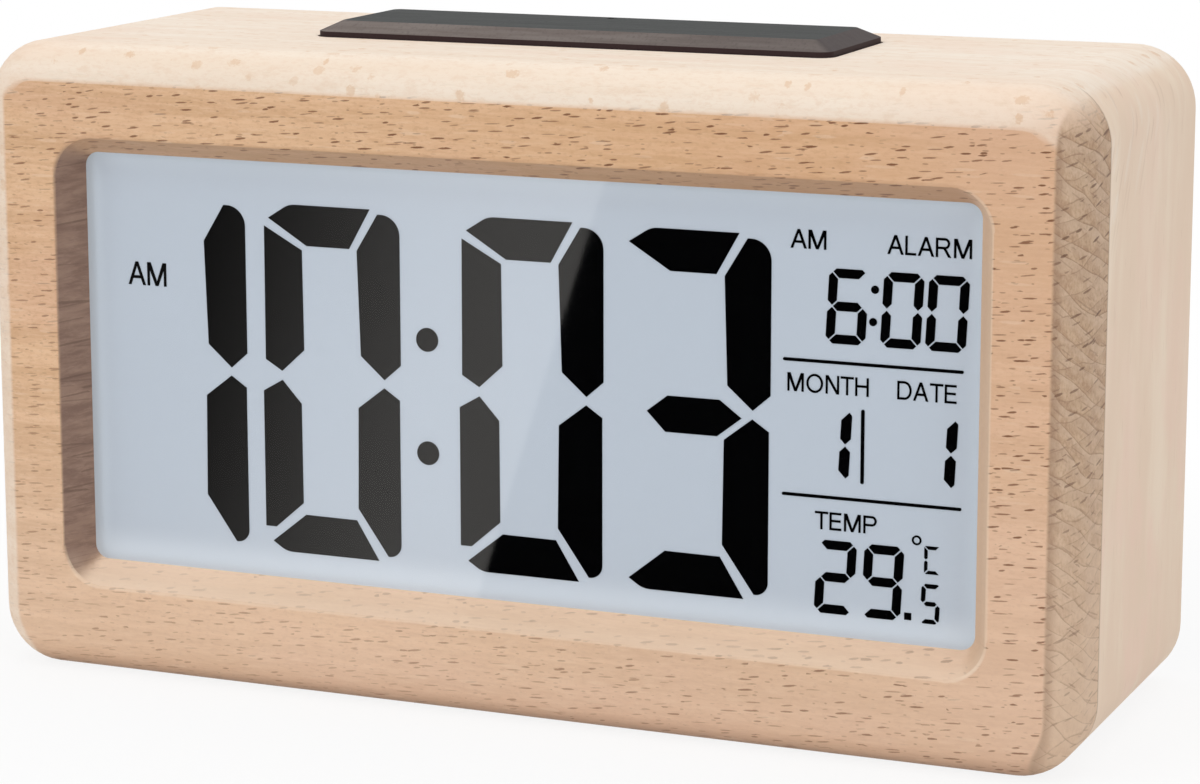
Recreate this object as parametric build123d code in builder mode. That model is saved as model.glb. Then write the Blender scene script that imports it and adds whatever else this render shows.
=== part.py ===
"""Wooden desk clock with a large segment display.

A solid beech front board with a splayed window is dowelled to a beech case.
The display stack sits in a pocket behind the window, the electronics and the
battery bay fill the case, and a recessed plastic panel closes the back.
Frame: millimetres, +Z up, front face towards -Y, origin at the bottom centre.
"""
import os

from build123d import *

os.makedirs("parts", exist_ok=True)

# ---------------------------------------------------------------- case sizes
case_w = 150.0
case_h = 84.5
case_d = 54.0
corner_r = 8.0
front_edge_r = 5.0
rear_edge_r = 1.5
board_t = 11.0
wall = 8.0
cavity_r = 12.0
rebate_depth = 5.5
rebate_ledge = 3.0
rebate_r = 5.0

# ---------------------------------------------------------------- clearances
gap = 0.3
running = 0.06

# ---------------------------------------------------------------- the window
window_side = 11.1
window_rail = 12.05
window_r = 5.5
window_edge_r = 0.6
splay_side = 2.5
splay_rail = 2.7
view_r = 1.9
view_rise = 0.25
window_depth = 4.2
pocket_lip = 2.1

# ---------------------------------------------------------------- the display
lens_t = 1.2
ink_t = 0.1
lcd_t = 2.2
film_t = 0.3
guide_t = 2.8
reflector_t = 0.2
guide_bottom_step = 2.8
guide_top_step = 1.4
led_w = 60.0
zebra_inset = 11.4
zebra_t = 2.2
zebra_rise = 0.1

# big time digits, spread over what the information column leaves free
digit_inset = 2.95
digit_low = 3.2
digit_high = 5.6
digit_gap = 2.4
colon_gap = 8.35
digit_stroke = 6.1
digit_bar = 5.3
colon_r = 1.55
colon_step = 3.8
colon_upper = 5.5
colon_lower = -9.35

# information column: alarm, date and temperature
info_w = 23.1
info_inset = 2.4
field_gap = 1.6
small_w = 5.1
small_h = 9.3
small_stroke = 1.15
small_gap = 0.2
small_cut = 0.9
bold_stroke = 1.35
small_lean = 0.05
tiny_w = 2.45
tiny_h = 5.0
tiny_stroke = 0.55
alarm_drop = 18.5
alarm_inset = 5.45
alarm_pitch = 5.9
alarm_step = 1.1
date_low = -8.25
month_inset = 3.5
date_inset = 17.0
temp_rise = 2.5
temp_inset = 4.3
temp_pitch = 6.1
tenths_inset = 18.0
rule_t = 0.4
alarm_rule_drop = 2.35
date_rule_drop = 2.05
tick_inset = 10.4
tick_t = 0.45
small_dot_r = 0.5
small_dot_low = 3.0
small_dot_pitch = 4.0
point_w = 0.9
point_step = 1.5

# ---------------------------------------------------------------- boards
pcb_t = 1.6
holder_t = 1.6
rib_t = 1.2
rib_h = 5.0
holder_screw_inset = 20.0
holder_bite = 5.0
post_h = 5.0
post_r = 2.6
main_side_gap = 8.0
main_top_gap = 7.2
main_post_inset = 6.0
chip_r = 7.0
chip_t = 2.2
crystal_l = 8.2
crystal_w = 3.1
crystal_h = 3.0
capacitor_r = 2.5
capacitor_h = 7.0
thermistor_r = 1.2
thermistor_leg = 2.5
thermistor_inset = 7.0

# ---------------------------------------------------------------- snooze bar
bar_w = 72.0
bar_d = 22.0
bar_r = 2.0
bar_y = 5.2
bar_skirt = 0.7
bar_bevel_h = 1.3
bar_bevel_w = 2.6
bar_wall = 1.4
bar_top_t = 1.6
bar_flange_w = 2.0
bar_flange_t = 1.2
bar_travel = 1.0
bar_hole_r = 0.45
bar_hole_x = -1.0
bar_hole_inset = 3.9
bracket_drop = 10.5
bracket_t = 1.6
bracket_side_gap = 0.5
bracket_d = 20.0
bracket_foot = 7.0
top_pcb_side_gap = 1.0
top_pcb_d = 18.0
sensor_r = 1.45
sensor_h = 4.0
snooze_switch_x = 22.0

# ---------------------------------------------------------------- switches
switch_w = 6.0
switch_h = 3.6
switch_floor = 0.5
plunger_r = 1.5
plunger_hole_r = 1.8
plunger_reach = 1.8

# ---------------------------------------------------------------- rear panel
panel_t = 3.0
panel_bite = 8.0
rim_t = 1.4
rim_h = 3.0
rim_inset = 16.0
slider_dish = 0.6
panel_screw_inset_x = 3.7
panel_screw_inset_z = 3.75
key_row_gap = 2.9
key_first_x = -32.0
key_pitch = 13.0
key_w = 9.0
key_h = 5.0
key_r = 1.2
key_proud = 1.0
key_flange = 1.0
key_flange_t = 0.8
key_travel = 0.5
key_pcb_w = 95.0
key_pcb_h = 11.0
key_pcb_x = 2.5
key_pcb_depth = 8.2
key_post_inset = 3.3
key_bite = 5.0
slider_x = 35.0
slider_w = 3.0
slider_h = 2.4
slider_travel = 4.0
slider_cap_w = 4.6
slider_cap_h = 4.2
slider_proud = 1.4
slider_body_w = 13.0
sound_side = 25.0
sound_z = 28.0
sound_slots = 5
sound_slot_w = 14.0
sound_slot_h = 1.6
sound_pitch = 3.2
buzzer_r = 10.5
buzzer_t = 3.4
buzzer_port_r = 1.5

# ---------------------------------------------------------------- battery bay
cell_r = 5.25
cell_l = 44.5
cell_nub_r = 1.9
cell_nub_l = 1.0
cell_gap = 1.6
spring_l = 7.0
spring_t = 0.4
spring_w = 5.0
spring_rise = 4.0
spring_nose = 1.2
contact_t = 0.5
bay_wall = 1.6
bay_side = 8.65
bay_rise = 1.75
bay_top_gap = 2.0
door_t = 2.0
door_margin = 2.0
hinge_pin_r = 0.6
hinge_pin_l = 1.2
latch_w = 14.0
latch_h = 2.2
thumb_rib_w = 0.9
thumb_rib_pitch = 2.0
thumb_rib_h = 0.5

# ---------------------------------------------------------------- ribbons
ribbon_x = 20.0
ribbon_w = 8.0
ribbon_t = 0.5
ribbon_loop = 6.0
ribbon_drop = 8.0
ribbon_rise = 1.2

# ---------------------------------------------------------------- fasteners
dowel_r = 2.0
dowel_l = 14.0
dowel_z = 22.0
screw_r = 1.3
pilot_r = 1.0
head_r = 2.0
head_t = 1.2
panel_head_r = 2.4
pilot_depth = 9.0
bracket_skin = 2.5

# ---------------------------------------------------------------- key places
mid_z = case_h / 2
front_y = -case_d / 2
back_y = case_d / 2
seam_y = front_y + board_t
lens_y = front_y + window_depth
window_w = case_w - 2 * window_side
window_h = case_h - 2 * window_rail
view_w = window_w - 2 * splay_side
view_h = window_h - 2 * splay_rail
view_z = mid_z + view_rise
lens_w = view_w + 2 * pocket_lip - 2 * gap
lens_h = view_h + 2 * pocket_lip - 2 * gap
ink_y = lens_y + lens_t
lcd_y = ink_y + ink_t
film_y = lcd_y + lcd_t
guide_y = film_y + film_t
reflector_y = guide_y + guide_t
cavity_w = case_w - 2 * wall
cavity_h = case_h - 2 * wall
holder_y = seam_y
holder_screw_x = cavity_w / 2 - holder_screw_inset
holder_screw_z = cavity_h / 2 - head_r - gap
zebra_w = view_w - 2 * zebra_inset
zebra_z = view_z - lens_h / 2 + zebra_rise + zebra_t / 2
main_pcb_y = holder_y + holder_t + post_h
board_back = main_pcb_y + pcb_t
main_pcb_low = zebra_z - zebra_t / 2
main_pcb_w = cavity_w - 2 * main_side_gap
main_pcb_h = case_h - wall - main_top_gap - main_pcb_low
main_pcb_z = main_pcb_low + main_pcb_h / 2
main_post_x = main_pcb_w / 2 - main_post_inset
main_post_z = main_pcb_h / 2 - main_post_inset
ledge_y = back_y - rebate_depth
rebate_w = cavity_w + 2 * rebate_ledge
rebate_h = cavity_h + 2 * rebate_ledge
panel_y = ledge_y
panel_back = panel_y + panel_t
key_pcb_y = panel_y - key_pcb_depth
bar_low = case_h - wall - gap - bar_flange_t
bar_high = case_h + bar_skirt + bar_bevel_h
bracket_z = case_h - wall - bracket_drop - bracket_t
bracket_w = bar_w + 2 * (bar_flange_w + bracket_side_gap + bracket_t)
top_pcb_w = bracket_w - 2 * bracket_t - 2 * top_pcb_side_gap
top_pcb_z = bracket_z + bracket_t
key_z = bracket_z - key_row_gap - key_pcb_h / 2
# as many cells as stand between the floor of the case and the key board
bay_low = wall + bay_rise + bay_wall
bay_room = key_z - key_pcb_h / 2 - bay_top_gap - bay_wall - bay_low
cell_count = int((bay_room - 2 * gap + cell_gap) / (2 * cell_r + cell_gap))
bay_w = cell_l + spring_l + 2 * contact_t
bay_h = cell_count * 2 * cell_r + (cell_count - 1) * cell_gap + 2 * gap
sound_x = cavity_w / 2 - sound_side
bay_x = bay_side + bay_wall + bay_w / 2 - cavity_w / 2
bay_z = bay_low + bay_h / 2
door_w = bay_w + 2 * door_margin
door_h = bay_h + 2 * door_margin
door_y = panel_back - door_t
bay_floor_y = door_y - gap - 2 * cell_r - 2 * gap
door_low = bay_z - door_h / 2
hinge_y = door_y + door_t / 2
hinge_z = door_low + door_t / 2
keys_x = [key_first_x + i * key_pitch for i in range(5)]


def facing_front(y):
    """Plane across the clock at depth y; extrusions run from it towards the front."""
    return Plane(origin=(0, y, 0), x_dir=(1, 0, 0), z_dir=(0, -1, 0))


def seven_segments(width, height, stroke, space, lean, cut):
    """Corner points of the seven bars of a slim digit, a to g, its outer corners cut off."""
    mid = height / 2
    half = stroke / 2
    k = space * 0.7
    inner = stroke + k
    tip = (cut - k) / 2
    tail = k + tip
    bars = {
        "a": [(tail, height - tip), (cut, height), (width - cut, height), (width - tail, height - tip),
              (width - inner, height - stroke), (inner, height - stroke)],
        "b": [(width - tip, height - tail), (width, height - cut), (width, mid + half + k),
              (width - half, mid + k), (width - stroke, mid + half + k), (width - stroke, height - inner)],
        "c": [(width, cut), (width - tip, tail), (width - stroke, inner), (width - stroke, mid - half - k),
              (width - half, mid - k), (width, mid - half - k)],
        "d": [(cut, 0), (tail, tip), (inner, stroke), (width - inner, stroke),
              (width - tail, tip), (width - cut, 0)],
        "e": [(tip, tail), (0, cut), (0, mid - half - k), (half, mid - k),
              (stroke, mid - half - k), (stroke, inner)],
        "f": [(0, height - cut), (tip, height - tail), (stroke, height - inner), (stroke, mid + half + k),
              (half, mid + k), (0, mid + half + k)],
        "g": [(half + k, mid), (inner, mid + half), (width - inner, mid + half),
              (width - half - k, mid), (width - inner, mid - half), (inner, mid - half)],
    }
    return {name: [(x + lean * z, z) for x, z in points] for name, points in bars.items()}


def bar_face(points, soft=(), radius=1.0):
    """One display bar as a flat face, with the named corners rounded."""
    with BuildSketch() as bar:
        with BuildLine():
            Polyline(*points, close=True)
        make_face()
        corners = [v for v in bar.vertices() if any(abs(v.X - x) + abs(v.Y - z) < 0.01 for x, z in soft)]
        if corners:
            fillet(corners, radius)
    return bar.sketch


def screw(radius, length, cap_r, cap_t):
    """Cheese head screw standing on its point at the origin, head up."""
    with BuildPart() as item:
        Cylinder(radius, length, align=(Align.CENTER, Align.CENTER, Align.MIN))
        with Locations((0, 0, length)):
            Cylinder(cap_r, cap_t, align=(Align.CENTER, Align.CENTER, Align.MIN))
    return item.part


# ================================================================ front board
with BuildPart() as front_frame:
    with BuildSketch(facing_front(seam_y)):
        with Locations((0, mid_z)):
            RectangleRounded(case_w, case_h, corner_r)
    extrude(amount=board_t)
    fillet(front_frame.faces().sort_by(Axis.Y)[0].edges(), front_edge_r)
    # splayed window: wide at the face, tight to the display at the pocket
    with BuildSketch(facing_front(front_y)):
        with Locations((0, mid_z)):
            RectangleRounded(window_w, window_h, window_r)
    with BuildSketch(facing_front(lens_y)):
        with Locations((0, view_z)):
            RectangleRounded(view_w, view_h, view_r)
    loft(mode=Mode.SUBTRACT)
    fillet(front_frame.faces().sort_by(Axis.Y)[0].inner_wires()[0].edges(), window_edge_r)
    # pocket for the lens and the display stack
    with BuildSketch(facing_front(seam_y)):
        with Locations((0, view_z)):
            RectangleRounded(lens_w + 2 * gap, lens_h + 2 * gap, view_r)
    extrude(amount=seam_y - lens_y, mode=Mode.SUBTRACT)
    # dowel holes
    with BuildSketch(facing_front(seam_y)):
        with Locations((0, mid_z)):
            with GridLocations(case_w - wall, 2 * dowel_z, 2, 2):
                Circle(dowel_r)
    extrude(amount=dowel_l / 2, mode=Mode.SUBTRACT)
    # pilot holes for the display holder
    with BuildSketch(facing_front(seam_y)):
        with Locations((0, mid_z)):
            with GridLocations(2 * holder_screw_x, 2 * holder_screw_z, 2, 2):
                Circle(pilot_r)
    extrude(amount=holder_bite, mode=Mode.SUBTRACT)
front_frame.part.label = "front_frame"
export_step(front_frame.part, "parts/front_frame.step")

# ================================================================ rear case
with BuildPart() as rear_case:
    with BuildSketch(facing_front(back_y)):
        with Locations((0, mid_z)):
            RectangleRounded(case_w, case_h, corner_r)
    extrude(amount=back_y - seam_y)
    fillet(rear_case.faces().sort_by(Axis.Y)[-1].edges(), rear_edge_r)
    with BuildSketch(facing_front(back_y)):
        with Locations((0, mid_z)):
            RectangleRounded(cavity_w, cavity_h, cavity_r)
    extrude(amount=back_y - seam_y, mode=Mode.SUBTRACT)
    with BuildSketch(facing_front(back_y)):
        with Locations((0, mid_z)):
            RectangleRounded(rebate_w, rebate_h, rebate_r)
    extrude(amount=rebate_depth, mode=Mode.SUBTRACT)
    # slot for the snooze bar
    with BuildSketch(Plane.XY.offset(case_h)):
        with Locations((0, bar_y)):
            RectangleRounded(bar_w + 2 * gap, bar_d + 2 * gap, bar_r + gap)
    extrude(amount=-wall, mode=Mode.SUBTRACT)
    # dowel holes
    with BuildSketch(facing_front(seam_y + dowel_l / 2)):
        with Locations((0, mid_z)):
            with GridLocations(case_w - wall, 2 * dowel_z, 2, 2):
                Circle(dowel_r)
    extrude(amount=dowel_l / 2, mode=Mode.SUBTRACT)
    # pilot holes for the panel screws
    with BuildSketch(facing_front(ledge_y)):
        with Locations((0, mid_z)):
            with GridLocations(rebate_w - 2 * panel_screw_inset_x, rebate_h - 2 * panel_screw_inset_z, 2, 2):
                Circle(pilot_r)
    extrude(amount=pilot_depth, mode=Mode.SUBTRACT)
    # pilot holes for the bracket screws, up into the top wall
    with BuildSketch(Plane.XY.offset(case_h - wall)):
        with Locations((0, bar_y)):
            with GridLocations(bracket_w + bracket_foot, bracket_d * 0.6, 2, 2):
                Circle(pilot_r)
    extrude(amount=wall - bracket_skin, mode=Mode.SUBTRACT)
rear_case.part.label = "rear_case"
export_step(rear_case.part, "parts/rear_case.step")

with BuildPart() as dowels:
    with BuildSketch(facing_front(seam_y + dowel_l / 2)):
        with Locations((0, mid_z)):
            with GridLocations(case_w - wall, 2 * dowel_z, 2, 2):
                Circle(dowel_r)
    extrude(amount=dowel_l)
dowels.part.label = "dowels"
export_step(dowels.part, "parts/dowels.step")

# ================================================================ display stack
with BuildPart() as display_lens:
    with BuildSketch(facing_front(ink_y)):
        with Locations((0, view_z)):
            RectangleRounded(lens_w, lens_h, view_r)
    extrude(amount=lens_t)
display_lens.part.label = "display_lens"
export_step(display_lens.part, "parts/display_lens.step")

with BuildPart() as lcd_panel:
    with BuildSketch(facing_front(film_y)):
        with Locations((0, view_z)):
            RectangleRounded(lens_w, lens_h, view_r)
    extrude(amount=lcd_t)
    # the front glass stops short of the contact edge at the bottom
    with BuildSketch(facing_front(lcd_y + lcd_t / 2)):
        with Locations((0, view_z - lens_h / 2)):
            Rectangle(lens_w, 2 * guide_bottom_step - 4.0)
    extrude(amount=lcd_t / 2, mode=Mode.SUBTRACT)
lcd_panel.part.label = "lcd_panel"
export_step(lcd_panel.part, "parts/lcd_panel.step")

# big digits: the bars of one digit box, their mitres in proportion to the stroke
info_left = view_w / 2 - info_inset - info_w
digit_left = digit_inset - view_w / 2
digit_w = (info_left - field_gap - digit_left - 2 * digit_gap - colon_gap) / 4
digit_h = view_h - digit_low - digit_high
low_bar = digit_h - digit_bar
mid_digit = digit_h / 2
st = digit_stroke
big = {
    "a": bar_face([(0.17 * st, digit_h - 0.31 * st), (0.66 * st, digit_h), (digit_w - 0.69 * st, digit_h),
                   (digit_w - 1.18 * st, low_bar), (1.08 * st, low_bar)], [(0.66 * st, digit_h)], 0.49 * st),
    "b": bar_face([(digit_w - st, low_bar - 0.03 * st), (digit_w - 0.51 * st, digit_h - 0.1 * st),
                   (digit_w, digit_h - 0.1 * st), (digit_w, mid_digit + 0.49 * st),
                   (digit_w - 0.38 * st, mid_digit + 0.16 * st),
                   (digit_w - 0.93 * st, mid_digit + 0.64 * st)],
                  [(digit_w, digit_h - 0.1 * st)], 0.44 * st),
    "c": bar_face([(digit_w - st, mid_digit - 0.49 * st), (digit_w - 0.39 * st, mid_digit - 0.02 * st),
                   (digit_w - 0.03 * st, mid_digit - 0.26 * st), (digit_w - 0.03 * st, 0.11 * st),
                   (digit_w - 0.33 * st, 0.11 * st), (digit_w - 1.03 * st, digit_bar + 0.23 * st)],
                  [(digit_w - 0.03 * st, 0.11 * st)], 0.27 * st),
    "d": bar_face([(0.17 * st, 0.21 * st), (0.49 * st, 0), (digit_w - 0.56 * st, 0),
                   (digit_w - 1.08 * st, digit_bar - 0.03 * st), (0.97 * st, digit_bar - 0.02 * st)],
                  [(0.49 * st, 0)], 0.49 * st),
    "e": bar_face([(0, mid_digit - 0.28 * st), (0.45 * st, mid_digit - 0.02 * st),
                   (0.9 * st, mid_digit - 0.51 * st), (0.91 * st, digit_bar + 0.23 * st),
                   (0.25 * st, digit_bar - 0.34 * st), (0, digit_bar - 0.34 * st)]),
    "f": bar_face([(0.07 * st, low_bar + 0.38 * st), (0.96 * st, low_bar - 0.1 * st),
                   (0.98 * st, mid_digit + 0.66 * st), (0.45 * st, mid_digit + 0.18 * st),
                   (0.06 * st, mid_digit + 0.41 * st)]),
    "g": bar_face([(0.57 * st, mid_digit - 0.02 * st), (1.02 * st, mid_digit + 0.33 * st),
                   (digit_w - 1.1 * st, mid_digit + 0.33 * st), (digit_w - 0.62 * st, mid_digit - 0.02 * st),
                   (digit_w - 1.15 * st, mid_digit - 0.43 * st), (0.98 * st, mid_digit - 0.43 * st)]),
}
lit_bars = {"0": "abcdef", "1": "bc", "2": "abdeg", "3": "abcdg", "5": "acdfg", "6": "acdefg", "9": "abcdfg"}
second_x = digit_left + digit_w + digit_gap
third_x = second_x + digit_w + colon_gap
big_x = [digit_left, second_x, third_x, third_x + digit_w + digit_gap]
colon_x = second_x + digit_w + colon_step
digit_z = view_z - view_h / 2 + digit_low

with BuildPart() as time_digits:
    with BuildSketch(facing_front(lcd_y)):
        for left, figure in zip(big_x, "1003"):
            with Locations((left, digit_z)):
                for name in lit_bars[figure]:
                    add(big[name])
        with Locations((colon_x, view_z + colon_upper), (colon_x, view_z + colon_lower)):
            Circle(colon_r)
    extrude(amount=ink_t)
time_digits.part.label = "time_digits"
export_step(time_digits.part, "parts/time_digits.step")

slim = {name: bar_face(points) for name, points in
        seven_segments(small_w, small_h, small_stroke, small_gap, small_lean, small_cut).items()}
bold = {name: bar_face(points) for name, points in
        seven_segments(small_w, small_h, bold_stroke, small_gap, small_lean, small_cut).items()}
tiny = {name: bar_face(points) for name, points in
        seven_segments(tiny_w, tiny_h, tiny_stroke, small_gap, small_lean, small_cut / 2).items()}
alarm_left = info_left + alarm_inset
alarm_z = view_z + view_h / 2 - alarm_drop
date_z = view_z + date_low
temp_z = view_z - view_h / 2 + temp_rise
tenths_left = info_left + tenths_inset
hours_left = alarm_left + alarm_pitch + alarm_step
dots_x = alarm_left + alarm_pitch + small_gap
slim_places = [
    ("6", alarm_left, alarm_z), ("0", hours_left, alarm_z),
    ("0", hours_left + alarm_pitch - small_gap, alarm_z),
    ("1", info_left + month_inset, date_z), ("1", info_left + date_inset, date_z),
    ("2", info_left + temp_inset, temp_z), ("9", info_left + temp_inset + temp_pitch, temp_z),
]

with BuildPart() as info_digits:
    with BuildSketch(facing_front(lcd_y)):
        for figure, left, low in slim_places:
            with Locations((left, low)):
                for name in lit_bars[figure]:
                    add(bold[name] if figure == "1" else slim[name])
        with Locations((tenths_left, temp_z)):
            for name in lit_bars["5"]:
                add(tiny[name])
        with Locations((dots_x, alarm_z + small_dot_low),
                       (dots_x + small_gap, alarm_z + small_dot_low + small_dot_pitch)):
            Circle(small_dot_r)
        with Locations((tenths_left - point_step, temp_z + point_w * 0.75)):
            Rectangle(point_w, point_w)
        # rules between the fields
        with Locations((info_left + info_w / 2, alarm_z - alarm_rule_drop),
                       (info_left + info_w / 2, date_z - date_rule_drop)):
            SlotOverall(info_w, rule_t)
        with Locations((info_left + tick_inset, date_z + small_h / 2)):
            SlotOverall(small_h, tick_t, rotation=90)
    extrude(amount=ink_t)
info_digits.part.label = "info_digits"
export_step(info_digits.part, "parts/info_digits.step")

guide_low = view_z - lens_h / 2 + guide_bottom_step
guide_high = view_z + lens_h / 2 - guide_top_step
guide_mid = (guide_low + guide_high) / 2
guide_h = guide_high - guide_low

with BuildPart() as diffuser_film:
    with BuildSketch(facing_front(guide_y)):
        with Locations((0, guide_mid)):
            Rectangle(lens_w, guide_h)
    extrude(amount=film_t)
diffuser_film.part.label = "diffuser_film"
export_step(diffuser_film.part, "parts/diffuser_film.step")

with BuildPart() as light_guide:
    with BuildSketch(facing_front(reflector_y)):
        with Locations((0, guide_mid)):
            Rectangle(lens_w, guide_h)
    extrude(amount=guide_t)
    # shallow V grooves across the back turn the light forwards
    with BuildSketch(Plane.YZ.offset(-lens_w / 2)):
        with Locations((reflector_y, guide_mid)):
            with GridLocations(0, 5.0, 1, 10):
                RegularPolygon(0.45, 4, rotation=0)
    extrude(amount=lens_w, mode=Mode.SUBTRACT)
light_guide.part.label = "light_guide"
export_step(light_guide.part, "parts/light_guide.step")

with BuildPart() as reflector_film:
    with BuildSketch(facing_front(holder_y)):
        with Locations((0, guide_mid)):
            Rectangle(lens_w, guide_h)
    extrude(amount=reflector_t)
reflector_film.part.label = "reflector_film"
export_step(reflector_film.part, "parts/reflector_film.step")

with BuildPart() as backlight_leds:
    with BuildSketch(facing_front(holder_y)):
        with Locations((0, guide_high + guide_top_step / 2)):
            Rectangle(led_w, guide_top_step - 0.2)
            with GridLocations(led_w / 4, 0, 4, 1):
                Rectangle(4.0, guide_top_step)
    extrude(amount=guide_t)
backlight_leds.part.label = "backlight_leds"
export_step(backlight_leds.part, "parts/backlight_leds.step")

# ================================================================ display holder
head_room = head_r + gap
with BuildPart() as lcd_holder:
    with BuildSketch(facing_front(holder_y + holder_t)):
        with Locations((0, mid_z)):
            RectangleRounded(cavity_w - 2 * gap, cavity_h - 2 * gap, cavity_r - gap)
    extrude(amount=holder_t)
    # stiffening ribs at the sides, and along the bottom between the screw heads
    with BuildSketch(facing_front(holder_y + holder_t + rib_h)):
        with Locations((0, mid_z)):
            with GridLocations(cavity_w - 2 * gap - rib_t, 0, 2, 1):
                Rectangle(rib_t, cavity_h - 2 * cavity_r)
        with Locations((0, wall + gap + rib_t / 2)):
            Rectangle(2 * holder_screw_x - 2 * head_room, rib_t)
    extrude(amount=rib_h)
    # posts that carry the main board
    with BuildSketch(facing_front(main_pcb_y)):
        with Locations((0, main_pcb_z)):
            with GridLocations(2 * main_post_x, 2 * main_post_z, 2, 2):
                Circle(post_r)
    extrude(amount=post_h)
    with BuildSketch(facing_front(main_pcb_y)):
        with Locations((0, main_pcb_z)):
            with GridLocations(2 * main_post_x, 2 * main_post_z, 2, 2):
                Circle(pilot_r)
    extrude(amount=post_h, mode=Mode.SUBTRACT)
    # opening for the contact strip, and the screw holes
    with BuildSketch(facing_front(holder_y + holder_t)):
        with Locations((0, zebra_z)):
            Rectangle(zebra_w + 2 * gap, zebra_t + 2 * gap)
        with Locations((0, mid_z)):
            with GridLocations(2 * holder_screw_x, 2 * holder_screw_z, 2, 2):
                Circle(screw_r)
    extrude(amount=holder_t, mode=Mode.SUBTRACT)
lcd_holder.part.label = "lcd_holder"
export_step(lcd_holder.part, "parts/lcd_holder.step")

holder_screw = screw(pilot_r, holder_t + holder_bite, head_r, head_t)
with BuildPart() as holder_screws:
    for x, z in [(i * holder_screw_x, s * holder_screw_z) for i in (-1, 1) for s in (-1, 1)]:
        add(Plane(origin=(x, holder_y - holder_bite, mid_z + z), z_dir=(0, 1, 0)) * holder_screw)
holder_screws.part.label = "holder_screws"
export_step(holder_screws.part, "parts/holder_screws.step")

with BuildPart() as zebra_connector:
    with BuildSketch(facing_front(main_pcb_y)):
        with Locations((0, zebra_z)):
            Rectangle(zebra_w, zebra_t)
    extrude(amount=main_pcb_y - film_y)
zebra_connector.part.label = "zebra_connector"
export_step(zebra_connector.part, "parts/zebra_connector.step")

# ================================================================ main board
with BuildPart() as main_board:
    with BuildSketch(facing_front(main_pcb_y + pcb_t)):
        with Locations((0, main_pcb_z)):
            Rectangle(main_pcb_w, main_pcb_h)
            with GridLocations(2 * main_post_x, 2 * main_post_z, 2, 2):
                Circle(screw_r, mode=Mode.SUBTRACT)
    extrude(amount=pcb_t)
main_board.part.label = "main_board"
export_step(main_board.part, "parts/main_board.step")

board_screw = screw(pilot_r, pcb_t + post_h - 1, head_r, head_t)
with BuildPart() as board_screws:
    for x, z in [(i * main_post_x, s * main_post_z) for i in (-1, 1) for s in (-1, 1)]:
        add(Plane(origin=(x, main_pcb_y + 1 - post_h, main_pcb_z + z), z_dir=(0, 1, 0)) * board_screw)
board_screws.part.label = "board_screws"
export_step(board_screws.part, "parts/board_screws.step")

with BuildPart() as chip_blob:
    # a low dome of resin over the bare chip
    with BuildSketch(facing_front(board_back + chip_t)):
        with Locations((-main_pcb_w / 10, main_pcb_z)):
            Circle(chip_r)
    extrude(amount=chip_t)
    chamfer(chip_blob.faces().sort_by(Axis.Y)[-1].edges(), chip_t * 0.8, chip_t * 1.5)
chip_blob.part.label = "chip_blob"
export_step(chip_blob.part, "parts/chip_blob.step")

with BuildPart() as crystal:
    with BuildSketch(facing_front(board_back + crystal_h)):
        with Locations((main_pcb_w / 10, main_pcb_z + crystal_l)):
            SlotOverall(crystal_l, crystal_w)
    extrude(amount=crystal_h)
crystal.part.label = "crystal"
export_step(crystal.part, "parts/crystal.step")

with BuildPart() as capacitors:
    with BuildSketch(facing_front(board_back + capacitor_h)):
        with Locations((main_post_x - 2 * capacitor_h, main_pcb_z - 4 * capacitor_r)):
            with GridLocations(4 * capacitor_r, 0, 2, 1):
                Circle(capacitor_r)
    extrude(amount=capacitor_h)
capacitors.part.label = "capacitors"
export_step(capacitors.part, "parts/capacitors.step")

with BuildPart() as thermistor:
    # bead sensor on a leg at the lower corner of the board
    with Locations((main_pcb_w / 2 - thermistor_inset, board_back, main_pcb_low + 2 * thermistor_r)):
        Cylinder(thermistor_r / 3, thermistor_leg, rotation=(-90, 0, 0),
                 align=(Align.CENTER, Align.CENTER, Align.MIN))
        with Locations((0, thermistor_leg, 0)):
            Cylinder(thermistor_r, 2 * thermistor_r, rotation=(-90, 0, 0),
                     align=(Align.CENTER, Align.CENTER, Align.MIN))
thermistor.part.label = "thermistor"
export_step(thermistor.part, "parts/thermistor.step")

# ================================================================ snooze bar and its carrier
bar_plane = Plane.XY.offset(bar_low)
switch_top_z = top_pcb_z + pcb_t + switch_h
sensor_y = bar_y + bar_d / 2 - bar_hole_inset

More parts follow.
